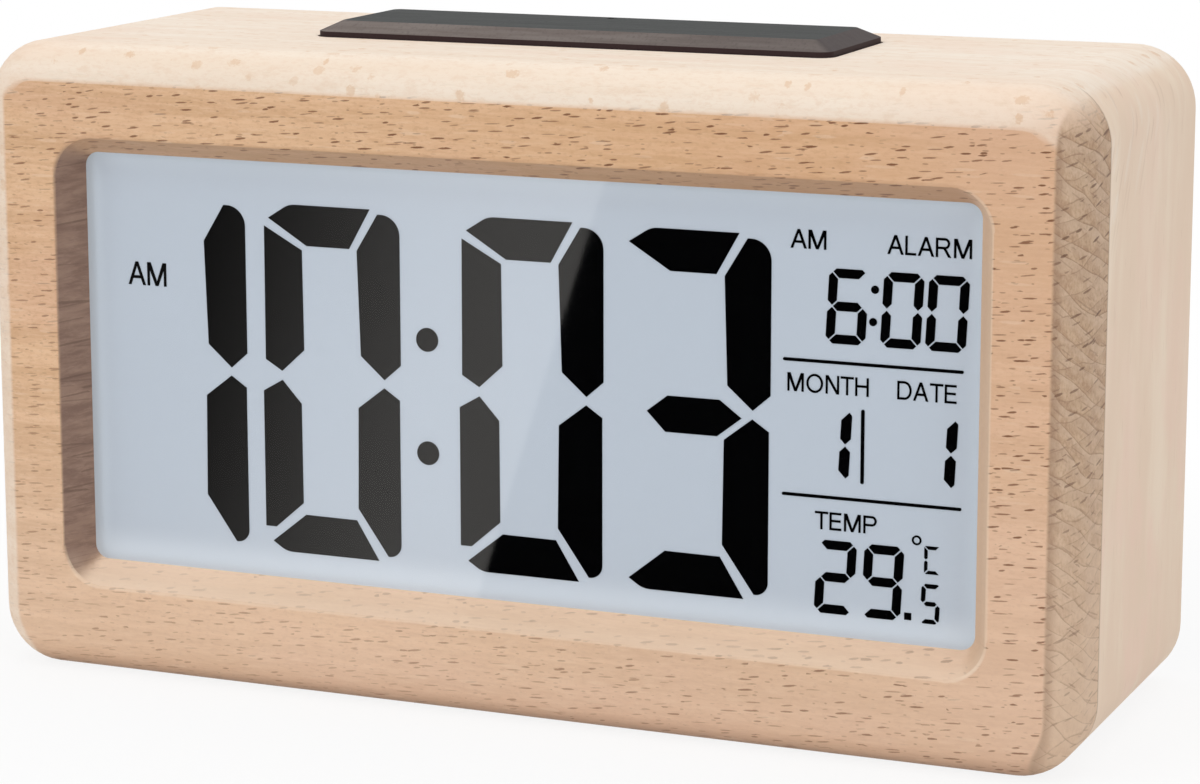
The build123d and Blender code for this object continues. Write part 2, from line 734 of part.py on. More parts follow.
with BuildPart() as snooze_bar:
    with BuildSketch(bar_plane):
        with Locations((0, bar_y)):
            RectangleRounded(bar_w + 2 * bar_flange_w, bar_d + 2 * bar_flange_w, bar_r + bar_flange_w)
    extrude(amount=bar_flange_t)
    with BuildSketch(bar_plane):
        with Locations((0, bar_y)):
            RectangleRounded(bar_w, bar_d, bar_r)
    extrude(amount=case_h + bar_skirt - bar_low)
    with BuildSketch(Plane.XY.offset(case_h + bar_skirt)):
        with Locations((0, bar_y)):
            RectangleRounded(bar_w, bar_d, bar_r)
    with BuildSketch(Plane.XY.offset(bar_high)):
        with Locations((0, bar_y)):
            RectangleRounded(bar_w - 2 * bar_bevel_w, bar_d - 2 * bar_bevel_w, bar_r * 0.5)
    loft()
    # hollow from below
    with BuildSketch(bar_plane):
        with Locations((0, bar_y)):
            RectangleRounded(bar_w - 2 * bar_wall, bar_d - 2 * bar_wall, bar_r - bar_wall + 0.4)
    extrude(amount=case_h - bar_wall * 0.5 - bar_low, mode=Mode.SUBTRACT)
    # two plungers that reach into the switches, each on a cross rib
    with BuildSketch(Plane.XY.offset(switch_top_z - plunger_reach)):
        with Locations((-snooze_switch_x, bar_y), (snooze_switch_x, bar_y)):
            Circle(plunger_r)
    extrude(amount=bar_high - bar_top_t - switch_top_z + plunger_reach)
    with BuildSketch(Plane.XY.offset(bar_low + 3.0)):
        with Locations((-snooze_switch_x, bar_y), (snooze_switch_x, bar_y)):
            Rectangle(1.0, bar_d - bar_wall)
        with Locations((0, bar_y)):
            Rectangle(bar_w - bar_wall, 1.0)
    extrude(amount=case_h - bar_low - 3.0)
    # pinhole over the light sensor
    with BuildSketch(Plane.XY.offset(bar_high)):
        with Locations((bar_hole_x, sensor_y)):
            Circle(bar_hole_r)
    extrude(amount=-5, mode=Mode.SUBTRACT)
snooze_bar.part.label = "snooze_bar"
export_step(snooze_bar.part, "parts/snooze_bar.step")

foot_z = case_h - wall
with BuildPart() as snooze_bracket:
    with BuildSketch(Plane.XZ.offset(-bar_y - bracket_d / 2)):
        with BuildLine():
            Polyline(
                (-bracket_w / 2 - bracket_foot, foot_z), (-bracket_w / 2 - bracket_foot, foot_z - bracket_t),
                (-bracket_w / 2, foot_z - bracket_t), (-bracket_w / 2, bracket_z),
                (bracket_w / 2, bracket_z), (bracket_w / 2, foot_z - bracket_t),
                (bracket_w / 2 + bracket_foot, foot_z - bracket_t), (bracket_w / 2 + bracket_foot, foot_z),
                (bracket_w / 2 - bracket_t, foot_z), (bracket_w / 2 - bracket_t, top_pcb_z),
                (-bracket_w / 2 + bracket_t, top_pcb_z), (-bracket_w / 2 + bracket_t, foot_z), close=True)
        make_face()
    extrude(amount=bracket_d)
    with BuildSketch(Plane.XY.offset(foot_z)):
        with Locations((0, bar_y)):
            with GridLocations(bracket_w + bracket_foot, bracket_d * 0.6, 2, 2):
                Circle(screw_r)
    extrude(amount=-bracket_t, mode=Mode.SUBTRACT)
snooze_bracket.part.label = "snooze_bracket"
export_step(snooze_bracket.part, "parts/snooze_bracket.step")

bracket_screw = screw(pilot_r, bracket_t + wall - bracket_skin, head_r, head_t)
with BuildPart() as bracket_screws:
    for x, y in [(i * (bracket_w + bracket_foot) / 2, s * bracket_d * 0.3) for i in (-1, 1) for s in (-1, 1)]:
        add(Plane(origin=(x, bar_y + y, case_h - bracket_skin), z_dir=(0, 0, -1)) * bracket_screw)
bracket_screws.part.label = "bracket_screws"
export_step(bracket_screws.part, "parts/bracket_screws.step")

with BuildPart() as top_board:
    with BuildSketch(Plane.XY.offset(top_pcb_z)):
        with Locations((0, bar_y)):
            Rectangle(top_pcb_w, top_pcb_d)
    extrude(amount=pcb_t)
top_board.part.label = "top_board"
export_step(top_board.part, "parts/top_board.step")

with BuildPart() as snooze_switches:
    with BuildSketch(Plane.XY.offset(top_pcb_z + pcb_t)):
        with Locations((-snooze_switch_x, bar_y), (snooze_switch_x, bar_y)):
            Rectangle(switch_w, switch_w)
    extrude(amount=switch_h)
    with BuildSketch(Plane.XY.offset(switch_top_z)):
        with Locations((-snooze_switch_x, bar_y), (snooze_switch_x, bar_y)):
            Rectangle(2 * plunger_hole_r, 2 * plunger_hole_r)
    extrude(amount=switch_floor - switch_h, mode=Mode.SUBTRACT)
snooze_switches.part.label = "snooze_switches"
export_step(snooze_switches.part, "parts/snooze_switches.step")

with BuildPart() as light_sensor:
    with BuildSketch(Plane.XY.offset(top_pcb_z + pcb_t)):
        with Locations((bar_hole_x, sensor_y)):
            Circle(sensor_r)
    extrude(amount=sensor_h)
    chamfer(light_sensor.faces().sort_by(Axis.Z)[-1].edges(), sensor_r * 0.5)
light_sensor.part.label = "light_sensor"
export_step(light_sensor.part, "parts/light_sensor.step")

# ================================================================ rear panel
with BuildPart() as rear_panel:
    with BuildSketch(facing_front(panel_back)):
        with Locations((0, mid_z)):
            RectangleRounded(rebate_w - 2 * gap, rebate_h - 2 * gap, rebate_r - gap)
    extrude(amount=panel_t)
    chamfer(rear_panel.faces().sort_by(Axis.Y)[-1].edges(), 0.4)
    # locating ribs inside the cavity, at the sides and along the bottom
    with BuildSketch(facing_front(panel_y)):
        with Locations((0, mid_z)):
            with GridLocations(cavity_w - 2 * gap - rim_t, 0, 2, 1):
                Rectangle(rim_t, cavity_h - 2 * rim_inset)
        with Locations((0, wall + gap + rim_t / 2)):
            Rectangle(cavity_w - 2 * rim_inset, rim_t)
    extrude(amount=rim_h)
    # battery tub: outer walls, then the recess for the door and the bay itself
    with BuildSketch(facing_front(panel_y)):
        with Locations((bay_x, bay_z)):
            Rectangle(bay_w + 2 * bay_wall, bay_h + 2 * bay_wall)
    extrude(amount=panel_y - bay_floor_y + bay_wall)
    with BuildSketch(facing_front(panel_back)):
        with Locations((bay_x, bay_z)):
            Rectangle(door_w + 2 * gap, door_h + 2 * gap)
        with Locations((bay_x, door_low + door_h + latch_h / 2)):
            Rectangle(latch_w + 2 * gap, latch_h + 2 * gap)
    extrude(amount=door_t + gap, mode=Mode.SUBTRACT)
    with BuildSketch(facing_front(panel_back)):
        with Locations((bay_x, bay_z)):
            Rectangle(bay_w, bay_h)
    extrude(amount=panel_back - bay_floor_y, mode=Mode.SUBTRACT)
    # low dividers between the cells
    with BuildSketch(facing_front(bay_floor_y + cell_r * 0.9)):
        with Locations((bay_x, bay_z)):
            with GridLocations(0, 2 * cell_r + cell_gap, 1, cell_count - 1):
                Rectangle(cell_l * 0.8, cell_gap - 2 * gap)
    extrude(amount=cell_r * 0.9)
    # sockets for the door's hinge pins
    with BuildSketch(Plane.YZ.offset(bay_x - door_w / 2 - gap - hinge_pin_l)):
        with Locations((hinge_y, hinge_z)):
            Circle(hinge_pin_r + running)
    extrude(amount=door_w + 2 * gap + 2 * hinge_pin_l, mode=Mode.SUBTRACT)
    # key and slider openings
    with BuildSketch(facing_front(panel_back)):
        for x in keys_x:
            with Locations((x, key_z)):
                RectangleRounded(key_w + 2 * gap, key_h + 2 * gap, key_r + gap)
        with Locations((slider_x + slider_travel / 2, key_z)):
            Rectangle(slider_w + slider_travel + 2 * gap, slider_h + 2 * gap)
    extrude(amount=panel_t, mode=Mode.SUBTRACT)
    # shallow dish around the slider
    with BuildSketch(facing_front(panel_back)):
        with Locations((slider_x + slider_travel / 2, key_z)):
            RectangleRounded(slider_cap_w + slider_travel + 2, slider_cap_h + 2, 1.5)
    extrude(amount=slider_dish, mode=Mode.SUBTRACT)
    # posts for the key board
    with BuildSketch(facing_front(panel_y)):
        with Locations((key_pcb_x, key_z)):
            with GridLocations(key_pcb_w - 2 * key_post_inset, 0, 2, 1):
                Circle(post_r)
    extrude(amount=key_pcb_depth - pcb_t)
    with BuildSketch(facing_front(key_pcb_y + pcb_t + key_bite)):
        with Locations((key_pcb_x, key_z)):
            with GridLocations(key_pcb_w - 2 * key_post_inset, 0, 2, 1):
                Circle(pilot_r)
    extrude(amount=key_bite, mode=Mode.SUBTRACT)
    # sound slots
    with BuildSketch(facing_front(panel_back)):
        with Locations((sound_x, sound_z)):
            with GridLocations(0, sound_pitch, 1, sound_slots):
                SlotOverall(sound_slot_w, sound_slot_h)
    extrude(amount=panel_t, mode=Mode.SUBTRACT)
    # screw holes with seats for the heads
    with BuildSketch(facing_front(panel_back)):
        with Locations((0, mid_z)):
            with GridLocations(rebate_w - 2 * panel_screw_inset_x, rebate_h - 2 * panel_screw_inset_z, 2, 2):
                Circle(screw_r)
    extrude(amount=panel_t, mode=Mode.SUBTRACT)
    with BuildSketch(facing_front(panel_back)):
        with Locations((0, mid_z)):
            with GridLocations(rebate_w - 2 * panel_screw_inset_x, rebate_h - 2 * panel_screw_inset_z, 2, 2):
                Circle(panel_head_r + gap)
    extrude(amount=head_t, mode=Mode.SUBTRACT)
rear_panel.part.label = "rear_panel"
export_step(rear_panel.part, "parts/rear_panel.step")

panel_screw = screw(pilot_r, panel_t - head_t + panel_bite, panel_head_r, head_t)
with BuildPart() as panel_screws:
    with Locations(Plane(origin=(0, panel_y - panel_bite, mid_z), x_dir=(1, 0, 0), z_dir=(0, 1, 0))):
        with GridLocations(rebate_w - 2 * panel_screw_inset_x, rebate_h - 2 * panel_screw_inset_z, 2, 2):
            add(panel_screw)
panel_screws.part.label = "panel_screws"
export_step(panel_screws.part, "parts/panel_screws.step")

# ================================================================ keys and their board
key_switch_top = key_pcb_y + pcb_t + switch_h

with BuildPart() as key_board:
    with BuildSketch(facing_front(key_pcb_y + pcb_t)):
        with Locations((key_pcb_x, key_z)):
            Rectangle(key_pcb_w, key_pcb_h)
            with GridLocations(key_pcb_w - 2 * key_post_inset, 0, 2, 1):
                Circle(screw_r, mode=Mode.SUBTRACT)
    extrude(amount=pcb_t)
key_board.part.label = "key_board"
export_step(key_board.part, "parts/key_board.step")

key_board_screw = screw(pilot_r, pcb_t + key_bite - 1, head_r, head_t)
with BuildPart() as key_board_screws:
    for side in (-1, 1):
        spot = (key_pcb_x + side * (key_pcb_w / 2 - key_post_inset), key_pcb_y + pcb_t + key_bite - 1, key_z)
        add(Plane(origin=spot, z_dir=(0, -1, 0)) * key_board_screw)
key_board_screws.part.label = "key_board_screws"
export_step(key_board_screws.part, "parts/key_board_screws.step")

with BuildPart() as key_switches:
    with BuildSketch(facing_front(key_switch_top)):
        for x in keys_x:
            with Locations((x, key_z)):
                Rectangle(switch_w, switch_w)
                Rectangle(2 * plunger_hole_r, 2 * plunger_hole_r, mode=Mode.SUBTRACT)
    extrude(amount=switch_h)
    with BuildSketch(facing_front(key_pcb_y + pcb_t + switch_floor)):
        for x in keys_x:
            with Locations((x, key_z)):
                Rectangle(2 * plunger_hole_r, 2 * plunger_hole_r)
    extrude(amount=switch_floor)
key_switches.part.label = "key_switches"
export_step(key_switches.part, "parts/key_switches.step")

with BuildPart() as slide_switch:
    with BuildSketch(facing_front(key_switch_top)):
        with Locations((slider_x + slider_travel / 2, key_z)):
            Rectangle(slider_body_w, switch_w)
    extrude(amount=switch_h)
    with BuildSketch(facing_front(key_switch_top)):
        with Locations((slider_x + slider_travel / 2, key_z)):
            Rectangle(slider_w + slider_travel + 2 * gap, slider_h + 2 * gap)
    extrude(amount=plunger_reach, mode=Mode.SUBTRACT)
slide_switch.part.label = "slide_switch"
export_step(slide_switch.part, "parts/slide_switch.step")

with BuildPart() as slide_knob:
    with BuildSketch(facing_front(panel_back + slider_proud)):
        with Locations((slider_x, key_z)):
            Rectangle(slider_w, slider_h)
    extrude(amount=panel_back + slider_proud - key_switch_top + plunger_reach - gap)
    with BuildSketch(facing_front(panel_back + slider_proud)):
        with Locations((slider_x, key_z)):
            RectangleRounded(slider_cap_w, slider_cap_h, 0.6)
    extrude(amount=slider_proud + slider_dish - gap)
    # three grip grooves
    with BuildSketch(facing_front(panel_back + slider_proud)):
        with Locations((slider_x, key_z)):
            with GridLocations(1.2, 0, 3, 1):
                Rectangle(0.5, slider_cap_h)
    extrude(amount=0.5, mode=Mode.SUBTRACT)
slide_knob.part.label = "slide_knob"
export_step(slide_knob.part, "parts/slide_knob.step")

key_parts = []
for x in keys_x:
    with BuildPart() as key:
        with BuildSketch(facing_front(panel_back + key_proud)):
            with Locations((x, key_z)):
                RectangleRounded(key_w, key_h, key_r)
        extrude(amount=panel_back + key_proud - panel_y + gap)
        chamfer(key.faces().sort_by(Axis.Y)[-1].edges(), 0.5)
        with BuildSketch(facing_front(panel_y - gap)):
            with Locations((x, key_z)):
                Rectangle(key_w + 2 * key_flange, key_h + 2 * key_flange)
        extrude(amount=key_flange_t)
        with BuildSketch(facing_front(panel_y - gap)):
            with Locations((x, key_z)):
                Circle(plunger_r)
        extrude(amount=panel_y - gap - key_switch_top + plunger_reach)
    key_parts.append(key.part)
for name, item in zip(("key_mode", "key_set", "key_up", "key_down", "key_scale"), key_parts):
    item.label = name
    export_step(item, f"parts/{name}.step")

with BuildPart() as buzzer:
    with BuildSketch(facing_front(panel_y)):
        with Locations((sound_x, sound_z)):
            Circle(buzzer_r)
    extrude(amount=buzzer_t)
    with BuildSketch(facing_front(panel_y)):
        with Locations((sound_x, sound_z)):
            Circle(buzzer_port_r)
    extrude(amount=buzzer_t / 3, mode=Mode.SUBTRACT)
buzzer.part.label = "buzzer"
export_step(buzzer.part, "parts/buzzer.step")

# ================================================================ batteries
cell_y = bay_floor_y + gap + cell_r
first_z = bay_z - (cell_count - 1) * (2 * cell_r + cell_gap) / 2
rows = [(first_z + i * (2 * cell_r + cell_gap), 1 - 2 * (i % 2)) for i in range(cell_count)]

with BuildPart() as battery_cells:
    for z, side in rows:
        flat_x = bay_x + side * (bay_w / 2 - contact_t - cell_l)
        shoulder_x = flat_x + side * (cell_l - cell_nub_l)
        with BuildSketch(Plane(origin=(flat_x, cell_y, z), z_dir=(side, 0, 0))):
            Circle(cell_r)
        extrude(amount=cell_l - cell_nub_l)
        with BuildSketch(Plane(origin=(shoulder_x, cell_y, z), z_dir=(side, 0, 0))):
            Circle(cell_nub_r)
        extrude(amount=cell_nub_l)
battery_cells.part.label = "battery_cells"
export_step(battery_cells.part, "parts/battery_cells.step")

with BuildPart() as battery_contacts:
    for z, side in rows:
        for end in (-1, 1):
            with Locations((bay_x + end * (bay_w - contact_t) / 2, cell_y, z)):
                Box(contact_t, 2 * cell_r - 1.5, 2 * cell_r - 1.5)
battery_contacts.part.label = "battery_contacts"
export_step(battery_contacts.part, "parts/battery_contacts.step")

with BuildPart() as battery_springs:
    # bowed leaf at the flat end of each cell
    for z, side in rows:
        root_x = bay_x - side * (bay_w / 2 - contact_t - spring_t / 2)
        bow_x = root_x + side * (spring_l - spring_t)
        with BuildSketch(Plane.XY.offset(z - spring_w / 2)):
            with BuildLine():
                Polyline((root_x, cell_y - spring_rise), (bow_x, cell_y - spring_nose),
                         (bow_x, cell_y + spring_nose), (root_x, cell_y + spring_rise))
            trace(line_width=spring_t)
        extrude(amount=spring_w)
battery_springs.part.label = "battery_springs"
export_step(battery_springs.part, "parts/battery_springs.step")

with BuildPart() as battery_door:
    with BuildSketch(facing_front(panel_back)):
        with Locations((bay_x, bay_z)):
            Rectangle(door_w, door_h)
        with Locations((bay_x, door_low + door_h + latch_h / 2)):
            Rectangle(latch_w, latch_h)
    extrude(amount=door_t)
    # lower edge rolls about the hinge pins
    fillet(battery_door.edges().filter_by(Axis.X).group_by(Axis.Z)[0], door_t / 2 - 0.01)
    with BuildSketch(Plane.YZ.offset(bay_x - door_w / 2 - hinge_pin_l)):
        with Locations((hinge_y, hinge_z)):
            Circle(hinge_pin_r)
    extrude(amount=door_w + 2 * hinge_pin_l)
    # thumb ribs under the latch
    with BuildSketch(facing_front(panel_back + thumb_rib_h)):
        with Locations((bay_x, door_low + door_h - 2 * thumb_rib_pitch)):
            with GridLocations(0, thumb_rib_pitch, 1, 3):
                Rectangle(latch_w, thumb_rib_w)
    extrude(amount=thumb_rib_h)
battery_door.part.label = "battery_door"
export_step(battery_door.part, "parts/battery_door.step")

# ================================================================ ribbons between the boards
with BuildPart() as key_ribbon:
    with BuildSketch(Plane.YZ.offset(ribbon_x)):
        with BuildLine():
            Polyline((board_back, key_z - ribbon_drop), (board_back + ribbon_loop, key_z - ribbon_drop),
                     (key_pcb_y - ribbon_loop / 2, key_z), (key_pcb_y, key_z))
        trace(line_width=ribbon_t)
    extrude(amount=ribbon_w)
key_ribbon.part.label = "key_ribbon"
export_step(key_ribbon.part, "parts/key_ribbon.step")

ribbon_end = bar_y - top_pcb_d / 2 + 1
ribbon_top = top_pcb_z + pcb_t + ribbon_rise
with BuildPart() as top_ribbon:
    with BuildSketch(Plane.YZ.offset(ribbon_x)):
        with BuildLine():
            Polyline((board_back, ribbon_top), (ribbon_end, ribbon_top), (ribbon_end, top_pcb_z + pcb_t))
        trace(line_width=ribbon_t)
    extrude(amount=ribbon_w)
top_ribbon.part.label = "top_ribbon"
export_step(top_ribbon.part, "parts/top_ribbon.step")
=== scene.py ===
# %% [markdown]
# # A wooden desk clock with a large segment display
# The clock is already built as solid parts, each in its true place.  This
# script dresses those parts: wood, glass, printed words, plastic and screws.
# Lengths are metres.  x runs left to right, y runs from front to back and z up.

import math

import bmesh
import bpy
from mathutils import Matrix, Vector


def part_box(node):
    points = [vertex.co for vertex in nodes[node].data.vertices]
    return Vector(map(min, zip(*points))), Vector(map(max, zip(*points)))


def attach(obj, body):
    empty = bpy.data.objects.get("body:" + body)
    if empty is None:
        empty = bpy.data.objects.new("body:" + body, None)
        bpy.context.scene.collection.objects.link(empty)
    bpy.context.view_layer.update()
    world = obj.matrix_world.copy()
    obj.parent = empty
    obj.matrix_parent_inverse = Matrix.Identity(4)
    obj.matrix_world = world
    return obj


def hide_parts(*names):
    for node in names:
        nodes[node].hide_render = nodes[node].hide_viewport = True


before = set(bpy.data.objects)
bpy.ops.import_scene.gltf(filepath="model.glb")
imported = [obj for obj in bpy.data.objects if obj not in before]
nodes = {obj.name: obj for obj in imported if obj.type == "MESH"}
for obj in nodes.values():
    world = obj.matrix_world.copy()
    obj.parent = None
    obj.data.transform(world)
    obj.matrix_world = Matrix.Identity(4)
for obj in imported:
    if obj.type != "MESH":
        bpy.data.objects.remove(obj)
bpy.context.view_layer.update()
mm = 0.001


def linked(name, data):
    """A new object at the origin of the scene."""
    made = bpy.data.objects.new(name, data)
    bpy.context.scene.collection.objects.link(made)
    return made


print("parts in the frame:", len(nodes))

# %% [markdown]
# ## The camera
# A camera placed by its real position and three turning angles can be checked
# against a tape measure.  The other way, an empty to track, hides the angles.
# The small shift slides the picture on the sensor, and keeps upright edges as
# they are.

# %% Place the camera
turn, tilt, roll = 0.408524, 0.186022, -0.002991
stand = (186.41, -438.78, 134.86)
picture_width, sensor_width = 1200, 36.0
focal_pixels, right_pixels, up_pixels = 3672.25, 42, -52
back = Vector((math.sin(turn) * math.cos(tilt), -math.cos(turn) * math.cos(tilt), math.sin(tilt)))
level = Vector((math.cos(turn), math.sin(turn), 0.0))
rise = back.cross(level)
right = math.cos(roll) * level + math.sin(roll) * rise
up = math.cos(roll) * rise - math.sin(roll) * level
camera_data = bpy.data.cameras.new("camera")
camera_data.sensor_fit = "HORIZONTAL"
camera_data.sensor_width = sensor_width
camera_data.lens = focal_pixels / picture_width * sensor_width
camera_data.shift_x = right_pixels / picture_width
camera_data.shift_y = up_pixels / picture_width
camera_data.clip_start = 0.01
camera = linked("camera", camera_data)
camera.matrix_world = Matrix((
    (right.x, up.x, back.x, stand[0] * mm),
    (right.y, up.y, back.y, stand[1] * mm),
    (right.z, up.z, back.z, stand[2] * mm),
    (0, 0, 0, 1)))
bpy.context.scene.camera = camera
print("camera looks down by", round(math.degrees(tilt), 1), "degrees")

# %% [markdown]
# ## Writing a finish as arithmetic
# A material is a graph of nodes.  Wired by hand, even a small formula takes
# many lines.  The class below wraps one output, so `1 - mask` adds the Math
# node by itself, and one method makes every other kind of node.

# %% A wrapped output
class Signal:
    """A number, colour or vector on its way through a finish."""

    def __init__(self, finish, socket):
        self.finish = finish
        self.socket = socket

    def math(self, operation, first, second=None):
        inputs = {0: first} if second is None else {0: first, 1: second}
        return self.finish.node("ShaderNodeMath", {"operation": operation}, inputs)

    def __add__(self, other):
        return self.math("ADD", self, other)

    def __sub__(self, other):
        return self.math("SUBTRACT", self, other)

    def __mul__(self, other):
        return self.math("MULTIPLY", self, other)

    def __truediv__(self, other):
        return self.math("DIVIDE", self, other)

    def __pow__(self, other):
        return self.math("POWER", self, other)

    def __rsub__(self, other):
        return self.math("SUBTRACT", other, self)

    __radd__ = __add__
    __rmul__ = __mul__

    def above(self, low, high):
        """0 below low, 1 above high, and a soft step between."""
        return self.finish.node("ShaderNodeMapRange", {"interpolation_type": "SMOOTHSTEP", "clamp": True},
                                {0: self, 1: low, 2: high, 3: 0.0, 4: 1.0})

    def below(self, low, high):
        return 1 - self.above(low, high)

    def past(self, edge, soft):
        """0 before an edge and 1 after it; soft is how far the step reaches to each side."""
        return self.above(edge - soft, edge + soft)

    def size(self):
        return self.math("ABSOLUTE", self)

    def least(self, other):
        return self.math("MINIMUM", self, other)

    def most(self, other):
        return self.math("MAXIMUM", self, other)


# %% A finish: one material and the nodes in it
class Finish:
    """A material whose nodes are added one by one.  The world is written the same way."""

    def __init__(self, name, world=False):
        self.material = (bpy.data.worlds if world else bpy.data.materials).new(name)
        self.material.use_nodes = True
        self.tree = self.material.node_tree
        self.tree.nodes.clear()
        self.coordinates = None

    def node(self, kind, settings=None, inputs=None, out=0):
        """Adds a node: its settings first, then the values or links of its sockets."""
        made = self.tree.nodes.new(kind)
        for key, value in (settings or {}).items():
            setattr(made, key, value)
        for key, value in (inputs or {}).items():
            self.feed(made.inputs[key], value)
        return Signal(self, made.outputs[out]) if len(made.outputs) else None

    def feed(self, socket, value):
        if isinstance(value, Signal):
            self.tree.links.new(value.socket, socket)
        elif hasattr(value, "__len__") and socket.type == "RGBA" and len(value) == 3:
            socket.default_value = (*value, 1.0)
        else:
            socket.default_value = value

    def place(self, scale=(1, 1, 1), turn=(0, 0, 0), shift=(0, 0, 0)):
        """Object coordinates in millimetres, first turned, then stretched and shifted."""
        if self.coordinates is None:
            self.coordinates = self.node("ShaderNodeTexCoord", out="Object")
        spot, size = self.coordinates, tuple(1000 * s for s in scale)
        if any(turn):
            turned = {"Vector": spot, "Rotation": turn, "Scale": (1000, 1000, 1000)}
            spot, size = self.node("ShaderNodeMapping", {}, turned), scale
        return self.node("ShaderNodeMapping", {}, {"Vector": spot, "Location": shift, "Scale": size})

    def axes(self, vector):
        return [self.node("ShaderNodeSeparateXYZ", {}, {0: vector}, out=i) for i in range(3)]

    def noise(self, vector, detail=3.0, roughness=0.55):
        return self.node("ShaderNodeTexNoise", {}, {"Vector": vector, "Scale": 1.0, "Detail": detail,
                                                   "Roughness": roughness})

    def mix(self, amount, first, second, blend="MIX"):
        """Blends two colours."""
        return self.node("ShaderNodeMix", {"data_type": "RGBA", "blend_type": blend, "clamp_factor": True},
                         {0: amount, 6: first, 7: second}, out=2)

    def coats(self, colour, *coats):
        """Lays coats over a colour.  Each is how much of it, and its own colour."""
        for amount, coat in coats:
            colour = self.mix(amount, colour, coat)
        return colour

    def bump(self, height, distance, strength=1.0):
        return self.node("ShaderNodeBump", {}, {"Strength": strength, "Distance": distance * mm,
                                                "Height": height})

    def surface(self, **sockets):
        """Ends the finish in one Principled shader."""
        named = {key.replace("_", " "): value for key, value in sockets.items()}
        shader = self.node("ShaderNodeBsdfPrincipled", {}, named)
        self.node("ShaderNodeOutputMaterial", {}, {"Surface": shader})
        return self.material


def grey(level):
    return (level, level, level)


print("finishes are written with", Signal.__name__, "and", Finish.__name__)

# %% [markdown]
# ## Beech
# Beech shows short dark dashes, the ends of its rays, on a straight grain.
# An image of wood would repeat and stretch; noise that is squeezed along the
# grain runs through the whole board instead, so end grain and face agree.
# Each dash sits in its own Voronoi cell, which gives it a random length.

# %% Measures of the wood, in millimetres
board_low, board_high = (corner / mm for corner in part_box("front_frame"))
half_width, front, glue_line = board_high.x, board_low.y, board_high.y
window_x, window_low, window_high = 67.0, 8.0, 76.5
print("board from", round(front, 2), "to the glue line at", round(glue_line, 2))


# %% Ray flecks
def ray_flecks(finish, cell, long, thin, fill, turn=(0, 0, 0), shift=(0, 0, 0), along=0, across=2,
               ragged=0.22, depth=None):
    """Short dark dashes.  cell is the spacing along x, y and z in mm."""
    points = finish.place(tuple(1 / c for c in cell), turn, shift)
    cells = {"Vector": points, "Scale": 1.0, "Randomness": 1.0}
    centre = finish.node("ShaderNodeTexVoronoi", {}, cells, out="Position")
    chance = finish.node("ShaderNodeTexVoronoi", {}, cells, out="Color")
    offset = finish.node("ShaderNodeVectorMath", {"operation": "SUBTRACT"}, {0: points, 1: centre})
    away = finish.axes(offset)
    luck = finish.axes(chance)
    reach = (0.4 + 0.6 * luck[1]) * long / cell[along]
    width = (0.55 + 0.45 * luck[2]) * thin / cell[across]
    rough = finish.noise(finish.place((3.0, 3.0, 3.0)), detail=2.0) - 0.5
    spread = (away[along] / reach) ** 2 + (away[across] / width) ** 2 + rough * (3.0 * ragged)
    if depth:
        other = 3 - along - across
        spread = spread + (away[other] / (depth / cell[other])) ** 2
    clump = finish.noise(finish.place((0.045, 0.05, 0.07), shift=(9, 2, 4)), detail=1.0)
    wanted = (luck[0] - clump * 0.35).below(fill - 0.225, fill - 0.125)
    return spread.below(0.35, 1.0) * wanted * (0.45 + 0.55 * luck[2])


# %% Growth lines
def growth_lines(finish, lean, pitch, shift):
    """0 on a line, then rising to 1 just before the next.  lean is in radians, pitch in mm."""
    across = finish.axes(finish.place(turn=(lean, 0, 0)))[2]
    drift = finish.noise(finish.place((0.02, 0.05, 0.16), (lean, 0, 0), shift), detail=1.0)
    wander = finish.noise(finish.place((0.1, 0.5, 0.5), shift=shift), detail=2.0)
    level = across / pitch + drift * 2.0 + wander * 0.09
    return finish.node("ShaderNodeMath", {"operation": "FRACT"}, {0: level})


# %% [markdown]
# The front board is a darker, browner piece than the case behind it.  Its
# grain runs from left to right, so both ends and the two short walls of the
# window show end grain.  The surface normal tells which is which.  Each kind of
# surface is a base colour with coats over it, from the broadest to the finest.

# %% Long grain of the front board
def long_grain(f, x, z, nz, outer, streak, rosy, fine, speck):
    """The colour of the board's face, and where its dashes are."""
    base = f.mix(streak.above(0.34, 0.66), (0.70, 0.435, 0.245), (0.83, 0.54, 0.33))
    dashes = ray_flecks(f, (3.7, 3.0, 1.3), 1.3, 0.15, 0.6, turn=(0, 0.06, 0), ragged=0.3)
    slanted = ray_flecks(f, (4.2, 3.0, 1.7), 1.1, 0.165, 0.55, turn=(0, 0.15, 0), shift=(7, 2, 5),
                         ragged=0.3)
    specks = ray_flecks(f, (1.9, 2.0, 0.95), 0.5, 0.13, 0.42, shift=(11, 4, 2))
    lights = ray_flecks(f, (6.0, 3.0, 2.6), 2.4, 0.28, 0.4, shift=(1, 9, 3))
    marks = (dashes + slanted + specks * 0.5).least(1.0) * (0.5 + 0.5 * (x * 0.45 + z).above(-10.0, 75.0))
    face = f.coats(
        base,
        (rosy.above(0.42, 0.66) * 0.6, (0.77, 0.475, 0.315)),
        (fine.above(0.47, 0.7) * 0.4, (0.90, 0.64, 0.44)),
        (fine.below(0.32, 0.5) * 0.38, (0.60, 0.33, 0.175)),
        (speck.below(0.34, 0.5) * 0.3, (0.55, 0.30, 0.165)),
        (z.below(2.0, 50.0) * 0.42, (0.91, 0.69, 0.54)),
        ((x * 0.4 + z).above(55.0, 100.0) * 0.36, (0.70, 0.385, 0.19)),
        (x.above(40.0, 70.0) * 0.3, (0.84, 0.56, 0.42)),
        # Painted shade on the rounded bottom edge.
        (nz.below(-0.95, -0.3) * outer * 0.5, (0.36, 0.21, 0.13)),
        (marks * 0.95, (0.215, 0.085, 0.035)),
        (lights * 0.3, (0.90, 0.68, 0.50)),
    )
    return face, marks
